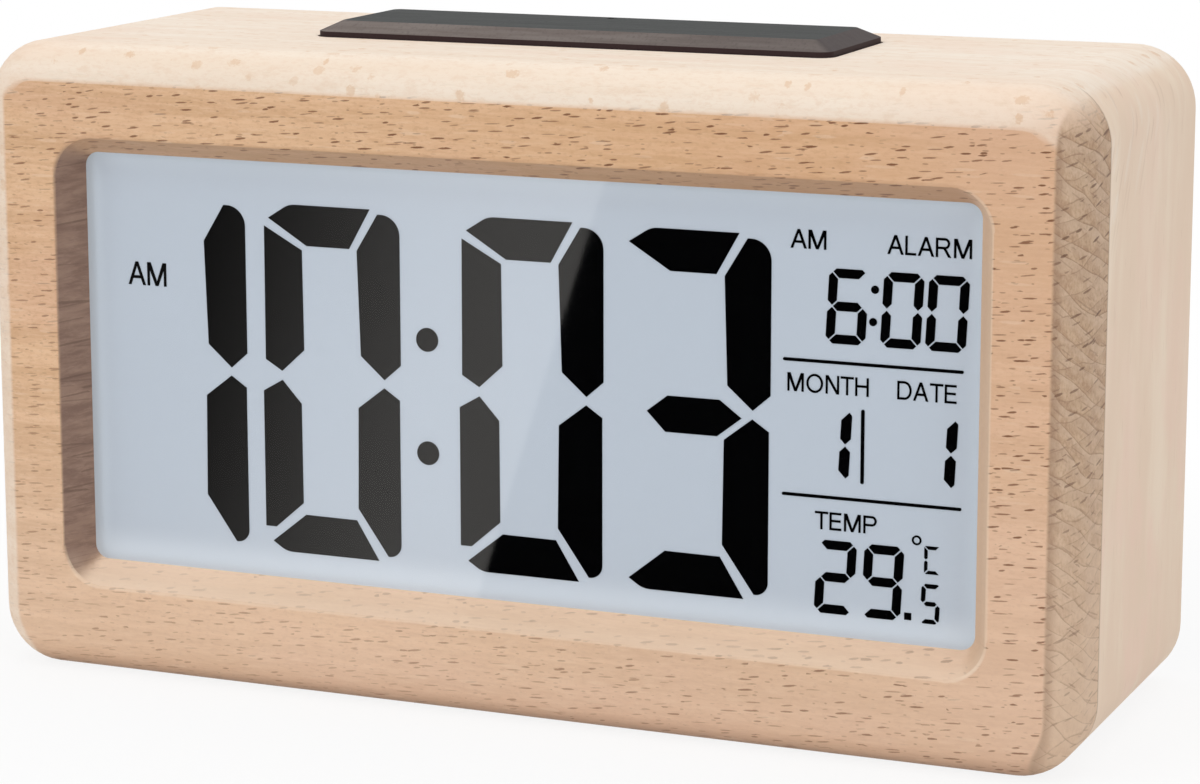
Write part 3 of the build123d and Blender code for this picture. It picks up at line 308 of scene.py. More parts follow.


# %% Top of the front board, painted paler as painted light
def mottle_and_blots(f):
    """A cloudy noise and round brown blots, which run on over the glue line."""
    mottle = f.noise(f.place((0.35, 0.7, 0.7), shift=(4, 4, 1)), detail=4.0, roughness=0.65)
    blots = ray_flecks(f, (3.6, 2.8, 2.8), 1.15, 0.9, 0.66, shift=(2, 3, 1), across=1, ragged=0.7,
                       depth=0.9)
    return mottle, blots


def pale_grain_with_painted_light(f, streak, rosy, speck):
    """The board's top and left edge painted paler, as painted light, with round brown blots."""
    mottle, blots = mottle_and_blots(f)
    return f.coats(
        f.mix(streak.above(0.3, 0.7), (0.92, 0.765, 0.62), (0.97, 0.845, 0.715)),
        (rosy.above(0.5, 0.7) * 0.5, (0.92, 0.70, 0.55)),
        (mottle.below(0.3, 0.5) * 0.5, (0.86, 0.66, 0.50)),
        (speck.below(0.34, 0.52) * 0.3, (0.84, 0.63, 0.47)),
        (blots * 0.5, (0.72, 0.43, 0.22)),
    )


# %% [markdown]
# End grain is a weave of growth lines that fall to the back and vessels that
# rise to the back.  Its coordinates are sheared along y by how far a point lies
# in from the end, so the lines run on straight over the rounded edge.

# %% End grain of the front board
def end_grain(f, x, y, z):
    """The colour of a cut end, its two noises and its two kinds of stroke."""
    falling, rising, shear = 0.32, -0.15, 2.2
    plain = f.coordinates
    pushed = y + (x.size() - half_width) * shear
    f.coordinates = f.node("ShaderNodeCombineXYZ", {}, {0: x * mm, 1: pushed * mm, 2: z * mm})
    down = f.noise(f.place((0.25, 0.22, 0.75), turn=(falling, 0, 0)), detail=4.0, roughness=0.62)
    weave = f.noise(f.place((0.3, 1.6, 1.6)), detail=4.0, roughness=0.7)
    cross = ray_flecks(f, (5.0, 4.6, 2.3), 2.3, 0.22, 0.72, turn=(rising, 0, 0), shift=(0, 4, 2),
                       along=1, ragged=0.3)
    back = ray_flecks(f, (5.0, 6.0, 2.0), 3.2, 0.17, 0.66, turn=(falling, 0, 0), shift=(0, 1, 8),
                      along=1, ragged=0.3)
    gaps = f.noise(f.place((0.3, 0.35, 0.5), shift=(3, 2, 8)), detail=2.0)
    first = growth_lines(f, falling, 2.7, (1, 5, 2))
    second = growth_lines(f, rising, 2.9, (6, 2, 7))
    f.coordinates = plain
    fallen = first.below(0.02, 0.1) * gaps.above(0.30, 0.50)
    risen = second.below(0.02, 0.08) * gaps.below(0.46, 0.66)
    ends = f.coats(
        f.mix(down.above(0.35, 0.65), (0.51, 0.33, 0.21), (0.64, 0.45, 0.30)),
        (weave.above(0.45, 0.7) * 0.5, (0.70, 0.525, 0.39)),
        (weave.below(0.3, 0.5) * 0.45, (0.34, 0.21, 0.135)),
        (first.above(0.25, 1.0) * 0.42, (0.72, 0.545, 0.41)),
        (second.above(0.3, 1.0) * 0.22, (0.42, 0.27, 0.18)),
        (z.below(2.0, 50.0) * 0.66, (0.86, 0.64, 0.47)),
        (fallen.most(risen) * (0.32 + 0.2 * z.above(5.0, 60.0)), (0.28, 0.16, 0.095)),
        (back * 0.4, (0.27, 0.155, 0.10)),
        (cross * (0.35 + 0.45 * z.above(10.0, 60.0)), (0.15, 0.075, 0.045)),
    )
    return ends, down, weave, cross, back


# %% The front board
def front_beech():
    f = Finish("front_beech")
    x, y, z = f.axes(f.place())
    nx, ny, nz = f.axes(f.node("ShaderNodeNewGeometry", out="Normal"))
    beside = x.size().past(window_x, 0.5)
    outer = (beside + (1 - z.past(window_low, 0.5)) + z.past(window_high, 0.5)).least(1.0)
    inner = 1 - outer
    end = (nx - nz.most(0.0) * 0.55).above(0.2, 0.3) * outer + nx.below(-0.92, -0.84) * outer
    left = nx.below(-0.34, -0.2) * outer
    cut = nx.size().above(0.22, 0.85) * inner
    right_corner = x.above(64.0, 74.0) * z.below(79.0, 84.5)
    # The top, and the left edge below, get painted light as a paler colour, with less of it at the right
    # corner.
    top = nz.above(0.03, 0.14) * outer * (1 - 0.55 * right_corner)
    rim_painted_shade = nx.above(0.16, 0.26) * nx.below(0.3, 0.55) * outer
    sill = inner * nz.size().above(0.6, 0.9)
    # A painted highlight along the front edge of the window.
    lip_painted_highlight = inner * y.below(front + 0.8, front + 2.4) * ny.below(-0.9, -0.3) * ny.above(-0.998, -0.9)
    glue = y.above(glue_line - 0.22, glue_line - 0.08) * 0.5 * nx.size().above(0.35, 0.7)
    streak = f.noise(f.place((0.010, 0.3, 0.36)), detail=5.0, roughness=0.6)
    rosy = f.noise(f.place((0.022, 0.05, 0.06), shift=(3, 1, 7)), detail=3.0)
    fine = f.noise(f.place((0.28, 2.0, 2.0)), detail=4.0, roughness=0.7)
    speck = f.noise(f.place((1.1, 2.4, 2.4), shift=(2, 7, 1)), detail=3.0, roughness=0.7)
    face, marks = long_grain(f, x, z, nz, outer, streak, rosy, fine, speck)
    pale = pale_grain_with_painted_light(f, streak, rosy, speck)
    ends, down, weave, cross, back = end_grain(f, x, y, z)
    # Painted shade along the rounded edge where the face turns into the end grain.
    ends = f.mix(rim_painted_shade * 0.4, ends, (0.30, 0.165, 0.10))
    # Painted shade and light: the two short window walls are one end grain, darker on the left wall and
    # lighter on the right.
    left_wall_painted_shade = f.coats(
        f.mix(down.above(0.35, 0.65), (0.235, 0.145, 0.11), (0.33, 0.215, 0.16)),
        (weave.above(0.45, 0.7) * 0.4, (0.40, 0.27, 0.205)),
        ((back + cross).least(1.0) * 0.5, (0.13, 0.075, 0.055)),
    )
    right_wall_painted_light = f.mix(fine, (0.66, 0.445, 0.29), (0.78, 0.55, 0.38))
    colour = f.coats(
        face,
        # Painted light: the top and the left edge are painted pale.
        (top, pale),
        (left * 0.75, pale),
        (end * z.below(78.0, 84.0), ends),
        # The left window wall in painted shade, the right one in painted light.
        (cut * nx.above(-0.1, 0.1), left_wall_painted_shade),
        (cut * nx.below(-0.1, 0.1), right_wall_painted_light),
        # Painted shade on the window's upper wall, and painted light on its lower wall.
        (sill * nz.below(-0.1, 0.1) * 0.45, (0.36, 0.22, 0.14)),
        (sill * nz.above(-0.1, 0.1) * (0.42 + 0.2 * x.below(-66.0, 0.0)), (0.97, 0.77, 0.60)),
        (lip_painted_highlight * (nz.above(0.05, 0.4) + nx.below(-0.4, -0.05)) * 0.34, (0.95, 0.78, 0.61)),
        (glue, (0.30, 0.19, 0.11)),
    )
    height = fine * 0.4 + streak * 0.3 - marks * 0.9 - (cross + back) * end * 0.8
    return f.surface(Base_Color=colour, Roughness=0.52 + 0.16 * fine + 0.1 * end,
                     Normal=f.bump(height, 0.05, 0.6), Specular_IOR_Level=0.3)


# %% [markdown]
# The case behind is a paler board: cream, with the same brown blots on top and
# soft pink bands down the side.

# %% The case
def case_beech():
    f = Finish("case_beech")
    x, y, z = f.axes(f.place())
    nx = f.axes(f.node("ShaderNodeNewGeometry", out="Normal"))[0]
    side = nx.size().above(0.55, 0.75)
    streak = f.noise(f.place((0.02, 0.35, 0.35)), detail=5.0, roughness=0.6)
    upright = f.noise(f.place((0.1, 0.12, 0.03), turn=(0.05, 0, 0)), detail=4.0, roughness=0.55)
    cloud = f.noise(f.place((0.05, 0.08, 0.05), shift=(5, 2, 3)), detail=3.0)
    mottle, blots = mottle_and_blots(f)
    small = ray_flecks(f, (3.4, 2.0, 2.0), 0.8, 0.3, 0.42, shift=(8, 1, 4), across=1, ragged=0.5)
    threads = ray_flecks(f, (3.0, 1.6, 7.0), 1.6, 0.14, 0.3, turn=(0.06, 0, 0), along=2, across=1)
    slope = (0.5, 0, 0)
    strokes = ray_flecks(f, (9.0, 2.4, 9.0), 5.0, 0.45, 0.6, turn=slope, shift=(0, 2, 0), along=2, across=1)
    sheen = ray_flecks(f, (9.0, 3.0, 11.0), 5.5, 0.9, 0.7, turn=slope, shift=(0, 6, 3), along=2, across=1)
    corner = (z - y * 0.45).above(66.0, 78.0)
    seam = y.below(glue_line + 0.15, glue_line + 0.4) * nx.size().above(0.35, 0.7)
    # Painted shade on the case where it lies behind the window.
    window_painted_shade = x.size().below(window_x - 0.5, window_x + 0.2) * z.past(window_low, 0.2) * (
        1 - z.past(window_high, 0.2))
    top = f.coats(
        f.mix(streak.above(0.3, 0.7), (0.92, 0.77, 0.63), (0.97, 0.855, 0.735)),
        (cloud.above(0.45, 0.68) * 0.5, (0.93, 0.74, 0.60)),
        (mottle.below(0.3, 0.5) * 0.5, (0.86, 0.67, 0.51)),
        (blots * 0.42, (0.72, 0.43, 0.22)),
        (small * 0.3, (0.64, 0.40, 0.24)),
    )
    wall = f.coats(
        f.mix(upright.above(0.35, 0.68), (0.88, 0.69, 0.535), (0.935, 0.775, 0.615)),
        (cloud.above(0.48, 0.7) * (0.3 + 0.3 * z.below(20.0, 60.0)), (0.92, 0.67, 0.545)),
        (threads * 0.2, (0.55, 0.37, 0.26)),
        (strokes * corner * 0.32, (0.56, 0.37, 0.25)),
        (sheen * corner * 0.3, (0.98, 0.89, 0.80)),
    )
    colour = f.coats(
        top,
        (side, wall),
        (seam * 0.45, (0.38, 0.25, 0.17)),
        # Painted shade behind the window.
        (window_painted_shade * 0.5, (0.42, 0.29, 0.18)),
    )
    height = streak * 0.4 + upright * 0.2 - blots * 0.2
    return f.surface(Base_Color=colour, Roughness=0.55 + 0.12 * streak, Normal=f.bump(height, 0.04, 0.6),
                     Specular_IOR_Level=0.3)


print("two boards of beech are written")

# %% [markdown]
# ## The display
# A liquid crystal panel that works by reflection is a sheet of grey-blue glass
# with a silvered film behind it, so it has a faint sparkle and a sheen.  The
# lit bars are simply black.

# %% Display glass and bars
def lcd_glass():
    f = Finish("lcd_glass")
    x, _, z = f.axes(f.place())
    view_x, view_z, middle = 61.4, 27.5, 42.5
    grain = f.noise(f.place((6.0, 6.0, 6.0)), detail=2.0)
    cloud = f.noise(f.place((0.02, 0.02, 0.02)), detail=1.0)
    tone = f.mix(grain.above(0.35, 0.65), (0.60, 0.66, 0.75), (0.63, 0.69, 0.78))
    tone = f.mix(cloud * 0.25, tone, (0.63, 0.69, 0.77))
    print_side = f.mix(1.0, tone, grey(0.72), "MULTIPLY")
    # Painted light: the panel glows faintly all over, and more at its edges and its lower part, where the
    # recess would shade it.
    side_painted_glow = x.size().above(view_x - 2.6, view_x)
    level_painted_glow = (z - middle).size().above(view_z - 3.2, view_z)
    low_painted_glow = z.below(15.0, 20.0)
    glow = f.coats(tone, (side_painted_glow.most(level_painted_glow) * 0.65, (1.0, 1.1, 1.2)), (low_painted_glow, (1.1, 1.17, 1.25)))
    return f.surface(Base_Color=print_side, Roughness=0.5 + 0.1 * grain, Specular_IOR_Level=0.1,
                     Emission_Color=glow, Emission_Strength=0.27)


def lcd_black():
    f = Finish("lcd_black")
    grain = f.noise(f.place((8.0, 8.0, 8.0)), detail=2.0)
    colour = f.mix(grain, (0.0012, 0.0012, 0.0014), (0.0022, 0.0022, 0.0026))
    return f.surface(Base_Color=colour, Roughness=0.7 + 0.1 * grain, Specular_IOR_Level=0.0)


# %% [markdown]
# The window is a sheet of clear acrylic.  A glass shader would bend light and
# take long to clear up, and a thin flat sheet bends nothing that can be seen.
# Mixing a clear and a mirror shader by Fresnel gives the same look at once.

# %% Clear acrylic
def clear_acrylic():
    f = Finish("lens_acrylic")
    dust = f.noise(f.place((0.25, 0.25, 0.25)), detail=4.0)
    facing = f.node("ShaderNodeNewGeometry", out="Backfacing")
    edge = f.node("ShaderNodeFresnel", {}, {"IOR": 1.45}) * (1 - facing)
    clear = f.node("ShaderNodeBsdfTransparent", {}, {"Color": (0.985, 0.99, 0.99)})
    polish = {"Base Color": grey(1.0), "Metallic": 1.0, "Roughness": 0.015 + 0.02 * dust}
    mirror = f.node("ShaderNodeBsdfPrincipled", {}, polish)
    sheet = f.node("ShaderNodeMixShader", {}, {0: edge, 1: clear, 2: mirror})
    f.node("ShaderNodeOutputMaterial", {}, {"Surface": sheet})
    return f.material


print("display finishes are written")

# %% [markdown]
# ## Plastic, metal and board
# Moulded plastic is never quite smooth: a spark-eroded mould leaves a fine
# even grain, and hands polish the edges.  One function covers every moulded
# piece, and takes its colour, its grain and its gloss.

# %% Moulded plastic
def moulded(name, colour, rough=0.45, grain=2.5, depth=0.02, shade=0.12, gloss=0.4):
    f = Finish(name)
    texture = f.noise(f.place((grain, grain, grain)), detail=3.0, roughness=0.6)
    flow = f.noise(f.place((0.06, 0.1, 0.06)), detail=2.0)
    dark = tuple(c * (1 - shade) for c in colour)
    pale = tuple(min(1.0, c * (1 + shade)) for c in colour)
    body = f.mix(flow.above(0.3, 0.7) * 0.7 + texture * 0.3, dark, pale)
    return f.surface(Base_Color=body, Roughness=rough - 0.08 + 0.16 * texture,
                     Normal=f.bump(texture, depth, 0.5), Specular_IOR_Level=gloss)


# %% Plated metal
def plated(name, colour, rough=0.3, stretch=(0.4, 6.0, 6.0)):
    f = Finish(name)
    brushed = f.noise(f.place(stretch), detail=4.0, roughness=0.6)
    stain = f.noise(f.place((0.3, 0.3, 0.3)), detail=3.0)
    dull = tuple(c * 0.72 for c in colour)
    body = f.mix(stain.above(0.4, 0.75) * 0.6, colour, dull)
    return f.surface(Base_Color=body, Metallic=1.0, Roughness=rough + 0.2 * brushed,
                     Normal=f.bump(brushed, 0.01, 0.4))


# %% [markdown]
# A circuit board is green lacquer over copper tracks and woven glass.  The
# tracks here are the bands of a squared-off noise, seen as a paler green.

# %% Circuit board
def circuit_board():
    f = Finish("circuit_board")
    x, y, z = f.axes(f.place())
    pitch = 0.9
    wander = f.noise(f.place((0.12, 0.12, 0.12)), detail=1.0)
    lane = f.node("ShaderNodeMath", {"operation": "PINGPONG"}, {0: x + wander * 6.0, 1: pitch})
    other = f.node("ShaderNodeMath", {"operation": "PINGPONG"}, {0: z + y + wander * 5.0, 1: pitch})
    choose = f.noise(f.place((0.05, 0.05, 0.05), shift=(4, 4, 4)), detail=1.0).above(0.49, 0.51)
    track = lane.above(0.55, 0.62) * choose + other.above(0.55, 0.62) * (1 - choose)
    weave = f.noise(f.place((3.0, 3.0, 3.0)), detail=2.0)
    colour = f.mix(track, (0.012, 0.085, 0.035), (0.03, 0.16, 0.06))
    colour = f.mix(weave * 0.2, colour, (0.02, 0.06, 0.03))
    return f.surface(Base_Color=colour, Roughness=0.32 + 0.1 * weave, Normal=f.bump(track, 0.03, 0.6))


# %% [markdown]
# The bar on top is a slate-grey moulding whose sides are browner and darker.  Its sloped front is the same
# brown plastic painted lighter as painted light, less so towards the right and where it turns to the ends.
# The normal picks out the flat top, and a faint brushed grain breaks it up.

# %% The bar
def bar_finish():
    f = Finish("bar_plastic")
    x, y, z = f.axes(f.place())
    nx, _, nz = f.axes(f.node("ShaderNodeNewGeometry", out="Normal"))
    pinhole_x, pinhole_y = -1.0, 12.3
    skirt_top = 85.05
    flat = nz.above(0.93, 0.985)
    slope = nz.above(0.25, 0.55) * (1 - flat) * z.past(skirt_top, 0.1)
    hole = ((x - pinhole_x) ** 2 + (y - pinhole_y) ** 2) ** 0.5
    texture = f.noise(f.place((2.6, 2.6, 2.6)), detail=3.0, roughness=0.6)
    drawn = f.noise(f.place((0.08, 0.9, 0.9)), detail=3.0)
    pits = f.noise(f.place((2.2, 1.1, 2.2), shift=(3, 1, 4)), detail=3.0, roughness=0.75)
    upper = f.coats(
        f.mix(drawn.above(0.3, 0.7), (0.034, 0.037, 0.036), (0.052, 0.055, 0.054)),
        (texture.above(0.55, 0.75) * 0.35, (0.085, 0.088, 0.086)),
        (pits.below(0.3, 0.5) * 0.5, (0.020, 0.022, 0.022)),
    )
    # Painted light: the sloped front is painted a lighter brown-grey, less towards the right and darkened
    # back where it turns to the ends.
    bevel = f.coats(
        f.mix(drawn.above(0.3, 0.7), (0.150, 0.122, 0.110), (0.205, 0.175, 0.160)),
        (pits.below(0.3, 0.5) * 0.4, (0.085, 0.066, 0.062)),
        (nx.size().above(0.15, 0.4) * 0.75, (0.045, 0.036, 0.039)),
        (x.above(-20.0, 36.0) * 0.4, (0.085, 0.070, 0.068)),
    )
    skirt = f.mix(texture, (0.030, 0.017, 0.018), (0.050, 0.030, 0.031))
    colour = f.coats(skirt, (slope, bevel), (flat, upper), (hole.below(0.6, 0.85), grey(0.006)))
    return f.surface(Base_Color=colour, Roughness=0.55 + 0.15 * texture, Normal=f.bump(texture, 0.02, 0.5),
                     Specular_IOR_Level=0.12)


print("plastic, metal and board finishes are written")

# %% [markdown]
# ## Putting the finishes on
# Each solid part keeps its mesh and gets one finish.  The list reads like a
# maker's order: part on the left, finish on the right.

# %% Finish list
bar_plastic = bar_finish()
key_plastic = moulded("key_plastic", (0.075, 0.072, 0.072), rough=0.36)
white_plastic = moulded("white_abs", (0.78, 0.78, 0.75), rough=0.5)
panel_plastic = moulded("panel_abs", (0.046, 0.044, 0.045), rough=0.5, grain=2.2, depth=0.05, shade=0.045)
black_plastic = moulded("black_resin", (0.018, 0.018, 0.02), rough=0.35, grain=1.0)
steel = plated("screw_steel", (0.56, 0.55, 0.53))
nickel = plated("contact_metal", (0.72, 0.70, 0.66), rough=0.22)
board_green = circuit_board()
film_white = moulded("white_film", (0.84, 0.85, 0.86), rough=0.3, grain=5.0, depth=0.005, shade=0.03)
dress = {
    "front_frame": front_beech(), "rear_case": case_beech(), "lcd_panel": lcd_glass(),
    "snooze_bar": bar_plastic, "rear_panel": panel_plastic, "battery_door": panel_plastic,
    "lcd_holder": white_plastic, "snooze_bracket": white_plastic,
    "dowels": moulded("dowel_beech", (0.62, 0.45, 0.29), rough=0.6, grain=0.8, depth=0.05),
    "light_guide": moulded("light_guide", (0.82, 0.86, 0.88), rough=0.15, grain=0.6, depth=0.005,
                           shade=0.03),
    "diffuser_film": film_white, "reflector_film": film_white,
    "backlight_leds": moulded("led_strip", (0.86, 0.80, 0.45), rough=0.4),
    "zebra_connector": moulded("contact_rubber", (0.55, 0.36, 0.40), rough=0.7, grain=4.0),
    "main_board": board_green, "top_board": board_green, "key_board": board_green,
    "chip_blob": black_plastic, "crystal": nickel, "battery_contacts": nickel, "battery_springs": nickel,
    "capacitors": moulded("capacitor_sleeve", (0.02, 0.03, 0.09), rough=0.3),
    "thermistor": moulded("thermistor_resin", (0.03, 0.03, 0.035), rough=0.35),
    "snooze_switches": moulded("switch_plastic", (0.03, 0.03, 0.032), rough=0.45),
    "key_switches": moulded("switch_black", (0.03, 0.03, 0.032), rough=0.45),
    "slide_switch": plated("switch_can", (0.60, 0.60, 0.58)),
    "light_sensor": moulded("sensor_lens", (0.25, 0.26, 0.3), rough=0.1, grain=0.5, depth=0.002),
    "slide_knob": key_plastic, "buzzer": moulded("buzzer_shell", (0.02, 0.02, 0.022), rough=0.4),
    "holder_screws": steel, "board_screws": steel, "bracket_screws": steel, "key_board_screws": steel,
    "panel_screws": steel,
    "key_ribbon": moulded("ribbon_film", (0.72, 0.70, 0.64), rough=0.35, grain=1.0),
    "top_ribbon": moulded("ribbon_sheet", (0.72, 0.70, 0.64), rough=0.35, grain=1.0),
    "time_digits": lcd_black(), "info_digits": lcd_black(),
}
for key_name in ("key_mode", "key_set", "key_up", "key_down", "key_scale"):
    dress[key_name] = key_plastic


def put_on(piece, material):
    """Gives every material slot of a piece the same finish."""
    if not piece.material_slots:
        piece.data.materials.append(material)
    for place in piece.material_slots:
        place.material = material


for part_name, material in dress.items():
    put_on(nodes[part_name], material)
print("finishes put on:", len(dress), "still bare:", sorted(set(nodes) - set(dress)))

# %% [markdown]
# ## Batteries
# A cell is a steel can in a printed sleeve.  Two plain bands are enough to
# read as a cell, and its ends are bare metal.

# %% Battery sleeve
cells_low, cells_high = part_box("battery_cells")


def cell_sleeve():
    f = Finish("cell_can")
    middle = (cells_low.x + cells_high.x) / 2 / mm
    reach = (cells_high.x - cells_low.x) / 2 / mm
    band_start, bare_end = 9.0, 4.0
    along = f.axes(f.place())[0] - middle
    scuff = f.noise(f.place((0.6, 2.0, 2.0)), detail=4.0)
    sleeve = f.mix(along.past(band_start, 0.1), (0.03, 0.10, 0.05), (0.62, 0.60, 0.54))
    metal = along.size().past(reach - bare_end, 0.1)
    colour = f.coats(
        sleeve,
        (metal, (0.62, 0.61, 0.58)),
        (scuff.above(0.55, 0.75) * 0.25, (0.30, 0.30, 0.28)),
    )
    return f.surface(Base_Color=colour, Metallic=metal, Roughness=0.28 + 0.2 * scuff,
                     Normal=f.bump(scuff, 0.01, 0.3))


put_on(nodes["battery_cells"], cell_sleeve())
print("cells lie from", cells_low, "to", cells_high)

# %% [markdown]
# ## A sheet from an outline
# Flat pieces start as one outline that is filled and pushed to a thickness.
# Building the mesh directly keeps its place in its own points, with the object
# at the origin, where the frame wants it.

# %% Mesh helpers
def as_object(name, mesh, material):
    piece = linked(name, mesh)
    put_on(piece, material)
    return piece


def ended(shape, name):
    """Turns a bmesh into a mesh."""
    mesh = bpy.data.meshes.new(name)
    shape.to_mesh(mesh)
    shape.free()
    return mesh


def rounded_outline(width, height, radius, steps=8):
    """Corner points of a rounded rectangle round the origin, in metres."""
    points = []
    for cx, cz, start in ((1, 1, 0), (-1, 1, 90), (-1, -1, 180), (1, -1, 270)):
        for i in range(steps + 1):
            angle = math.radians(start + 90 * i / steps)
            points.append((cx * (width / 2 - radius) + radius * math.cos(angle),
                           cz * (height / 2 - radius) + radius * math.sin(angle)))
    return points


# %% The acrylic sheet
lens_low, lens_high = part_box("display_lens")


def acrylic_sheet():
    """The sheet with a small polished bevel; its back stays just clear of the printed bars."""
    width = lens_high.x - lens_low.x
    height = lens_high.z - lens_low.z
    middle = (lens_high.z + lens_low.z) / 2
    bevel, gap, corner = 0.15 * mm, 0.05 * mm, 1.9 * mm
    rows = [(lens_high.y - gap, 0.0), (lens_low.y + bevel, 0.0), (lens_low.y, bevel)]
    shape = bmesh.new()
    rings = []
    for depth, inset in rows:
        outline = rounded_outline(width - 2 * inset, height - 2 * inset, corner - inset)
        rings.append([shape.verts.new((x, depth, z + middle)) for x, z in outline])
    for first, second in zip(rings, rings[1:]):
        for i in range(len(first)):
            j = (i + 1) % len(first)
            shape.faces.new((first[i], first[j], second[j], second[i]))
    shape.faces.new(rings[0])
    shape.faces.new(rings[-1])
    bmesh.ops.recalc_face_normals(shape, faces=shape.faces)
    return as_object("display_sheet", ended(shape, "display_sheet"), clear_acrylic())


sheet = acrylic_sheet()
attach(sheet, "clock")
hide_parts("display_lens")
print("acrylic sheet faces:", len(sheet.data.polygons))

# %% [markdown]
# ## Printed words
# The small words on the display are printed in the same black as its bars, and
# the words on the dark back are printed in pale grey.  Both are pieces as thin
# as ink that lie on their surface.  First come the helpers that both need.

# %% Places of the ink and helpers
ink_low, ink_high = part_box("time_digits")
display_z = (lens_low.z + lens_high.z) / 2


def joined(name, meshes, material):
    """Several small meshes as one piece with its faces turned outwards."""
    shape = bmesh.new()
    for mesh in meshes:
        shape.from_mesh(mesh)
        bpy.data.meshes.remove(mesh)
    bmesh.ops.remove_doubles(shape, verts=shape.verts, dist=1e-7)
    bmesh.ops.recalc_face_normals(shape, faces=shape.faces)
    mesh = ended(shape, name)
    mesh.materials.clear()
    return as_object(name, mesh, material)


# %% [markdown]
# The words on real display glass are plain grotesque capitals, finer than any
# letters that come with a fresh Blender.  So each capital is drawn here as a few
# straight plates and half rings, in a box one unit high.

# %% Plain capitals
def half_ring(cx, cz, rx, rz, stroke, start=-90, sweep=180, steps=12):
    """The corners of an arc of even width, drawn as a row of small plates."""
    plates = []
    for i in range(steps):
        a, b = (math.radians(start + sweep * k / steps) for k in (i, i + 1))
        plates.append([(cx + (rx - d) * math.cos(t), cz + (rz - d) * math.sin(t))
                       for t, d in ((a, 0), (b, 0), (b, stroke), (a, stroke))])
    return plates


def box(x0, z0, x1, z1):
    return [(x0, z0), (x1, z0), (x1, z1), (x0, z1)]


def capital(letter, s=0.125):
    """Width and plates of one capital; s is its stroke."""
    post = box(0, 0, s, 1)
    if letter == "A":
        return 0.9, [[(0, 0), (0.14, 0), (0.52, 1), (0.38, 1)], [(0.76, 0), (0.9, 0), (0.52, 1), (0.38, 1)],
                     box(0.2, 0.28, 0.7, 0.28 + s)]
    if letter == "M":
        return 0.98, [post, box(0.98 - s, 0, 0.98, 1), [(0, 1), (0.18, 1), (0.56, 0), (0.42, 0)],
                      [(0.98, 1), (0.8, 1), (0.42, 0), (0.56, 0)]]
    if letter == "N":
        return 0.8, [post, box(0.8 - s, 0, 0.8, 1), [(0, 1), (0.16, 1), (0.8, 0), (0.64, 0)]]
    if letter == "H":
        return 0.8, [post, box(0.8 - s, 0, 0.8, 1), box(0, 0.47, 0.8, 0.47 + s)]
    if letter == "T":
        return 0.78, [box(0, 1 - s, 0.78, 1), box(0.39 - s / 2, 0, 0.39 + s / 2, 1)]
    if letter == "L":
        return 0.6, [post, box(0, 0, 0.6, s)]
    if letter == "E":
        return 0.7, [post, box(0, 0, 0.7, s), box(0, 0.46, 0.65, 0.46 + s), box(0, 1 - s, 0.69, 1)]
    if letter == "O":
        return 1.0, half_ring(0.5, 0.5, 0.5, 0.52, s, 0, 360, 26)
    if letter == "D":
        return 0.85, [post, box(0, 0, 0.42, s), box(0, 1 - s, 0.42, 1), *half_ring(0.42, 0.5, 0.43, 0.5, s)]
    low = 0.42
    bowl = [post, box(0, low, 0.5, low + s), box(0, 1 - s, 0.5, 1),
            *half_ring(0.5, (1 + low) / 2, 0.28, (1 - low) / 2, s)]
    if letter == "R":
        return 0.84, bowl + [[(0.4, low + 0.05), (0.55, low + 0.05), (0.84, 0), (0.69, 0)]]
    return 0.78, bowl


def printed_word(word, left, low, right, high, y_front, y_back):
    """Plates of a word in plain capitals that fill the box, in mm."""
    plates, at = [], 0.0
    close, wide_gap = 0.09, 0.16
    for k, letter in enumerate(word):
        pair = word[k - 1:k + 1]
        if k:
            at += close if "A" in pair or "T" in pair else wide_gap
        width, shapes = capital(letter)
        plates += [[(at + x, z) for x, z in shape] for shape in shapes]
        at += width
    wide, tall = (right - left) / at, high - low
    placed = [[(left + x * wide, low + z * tall) for x, z in plate] for plate in plates]
    return [bar_mesh(plate, y_front, y_back) for plate in placed]


# %% [markdown]
# The degree ring and the slim C are drawn in the same ink.

# %% Ring, bars and the slim C
def ring_mesh(x, z, radius, thick, y_front, y_back, steps=20):
    """A small printed ring, for the degree sign."""
    shape = bmesh.new()
    loops = []
    turns = [2 * math.pi * i / steps for i in range(steps)]
    for r, y in ((radius + thick, y_front), (radius, y_front), (radius, y_back), (radius + thick, y_back)):
        points = [((x + r * math.cos(t)) * mm, y, (z + r * math.sin(t)) * mm) for t in turns]
        loops.append([shape.verts.new(point) for point in points])
    for k in range(4):
        a, b = loops[k], loops[(k + 1) % 4]
        for i in range(steps):
            j = (i + 1) % steps
            shape.faces.new((a[i], a[j], b[j], b[i]))
    return ended(shape, "ring")


def bar_mesh(corners, y_front, y_back):
    """A thin plate from the corners of one display bar, in mm."""
    shape = bmesh.new()
    front = [shape.verts.new((x * mm, y_front, z * mm)) for x, z in corners]
    rear = [shape.verts.new((x * mm, y_back, z * mm)) for x, z in corners]
    shape.faces.new(front)
    shape.faces.new(rear[::-1])
    for i in range(len(corners)):
        j = (i + 1) % len(corners)
        shape.faces.new((front[i], rear[i], rear[j], front[j]))
    return ended(shape, "bar")


def slim_letter_c(left, low, width, height, stroke):
    """The C of the temperature scale, in the slim bars of the small digits."""
    top, s, half = low + height, stroke, low + height / 2
    right_end = left + width
    split, drop, shoulder, tip = 0.1, 0.15, 0.25, 0.08
    return [
        [(left + split, top), (right_end, top), (right_end - s, top - s), (left + s + split, top - s)],
        [(left, top - drop), (left + s, top - s - drop), (left + s, half + shoulder),
         (left + s / 2, half + tip), (left, half + shoulder)],
        [(left, low + drop), (left, half - shoulder), (left + s / 2, half - tip),
         (left + s, half - shoulder), (left + s, low + s + drop)],
        [(left + split, low), (left + s + split, low + s), (right_end - s, low + s), (right_end, low)],
    ]


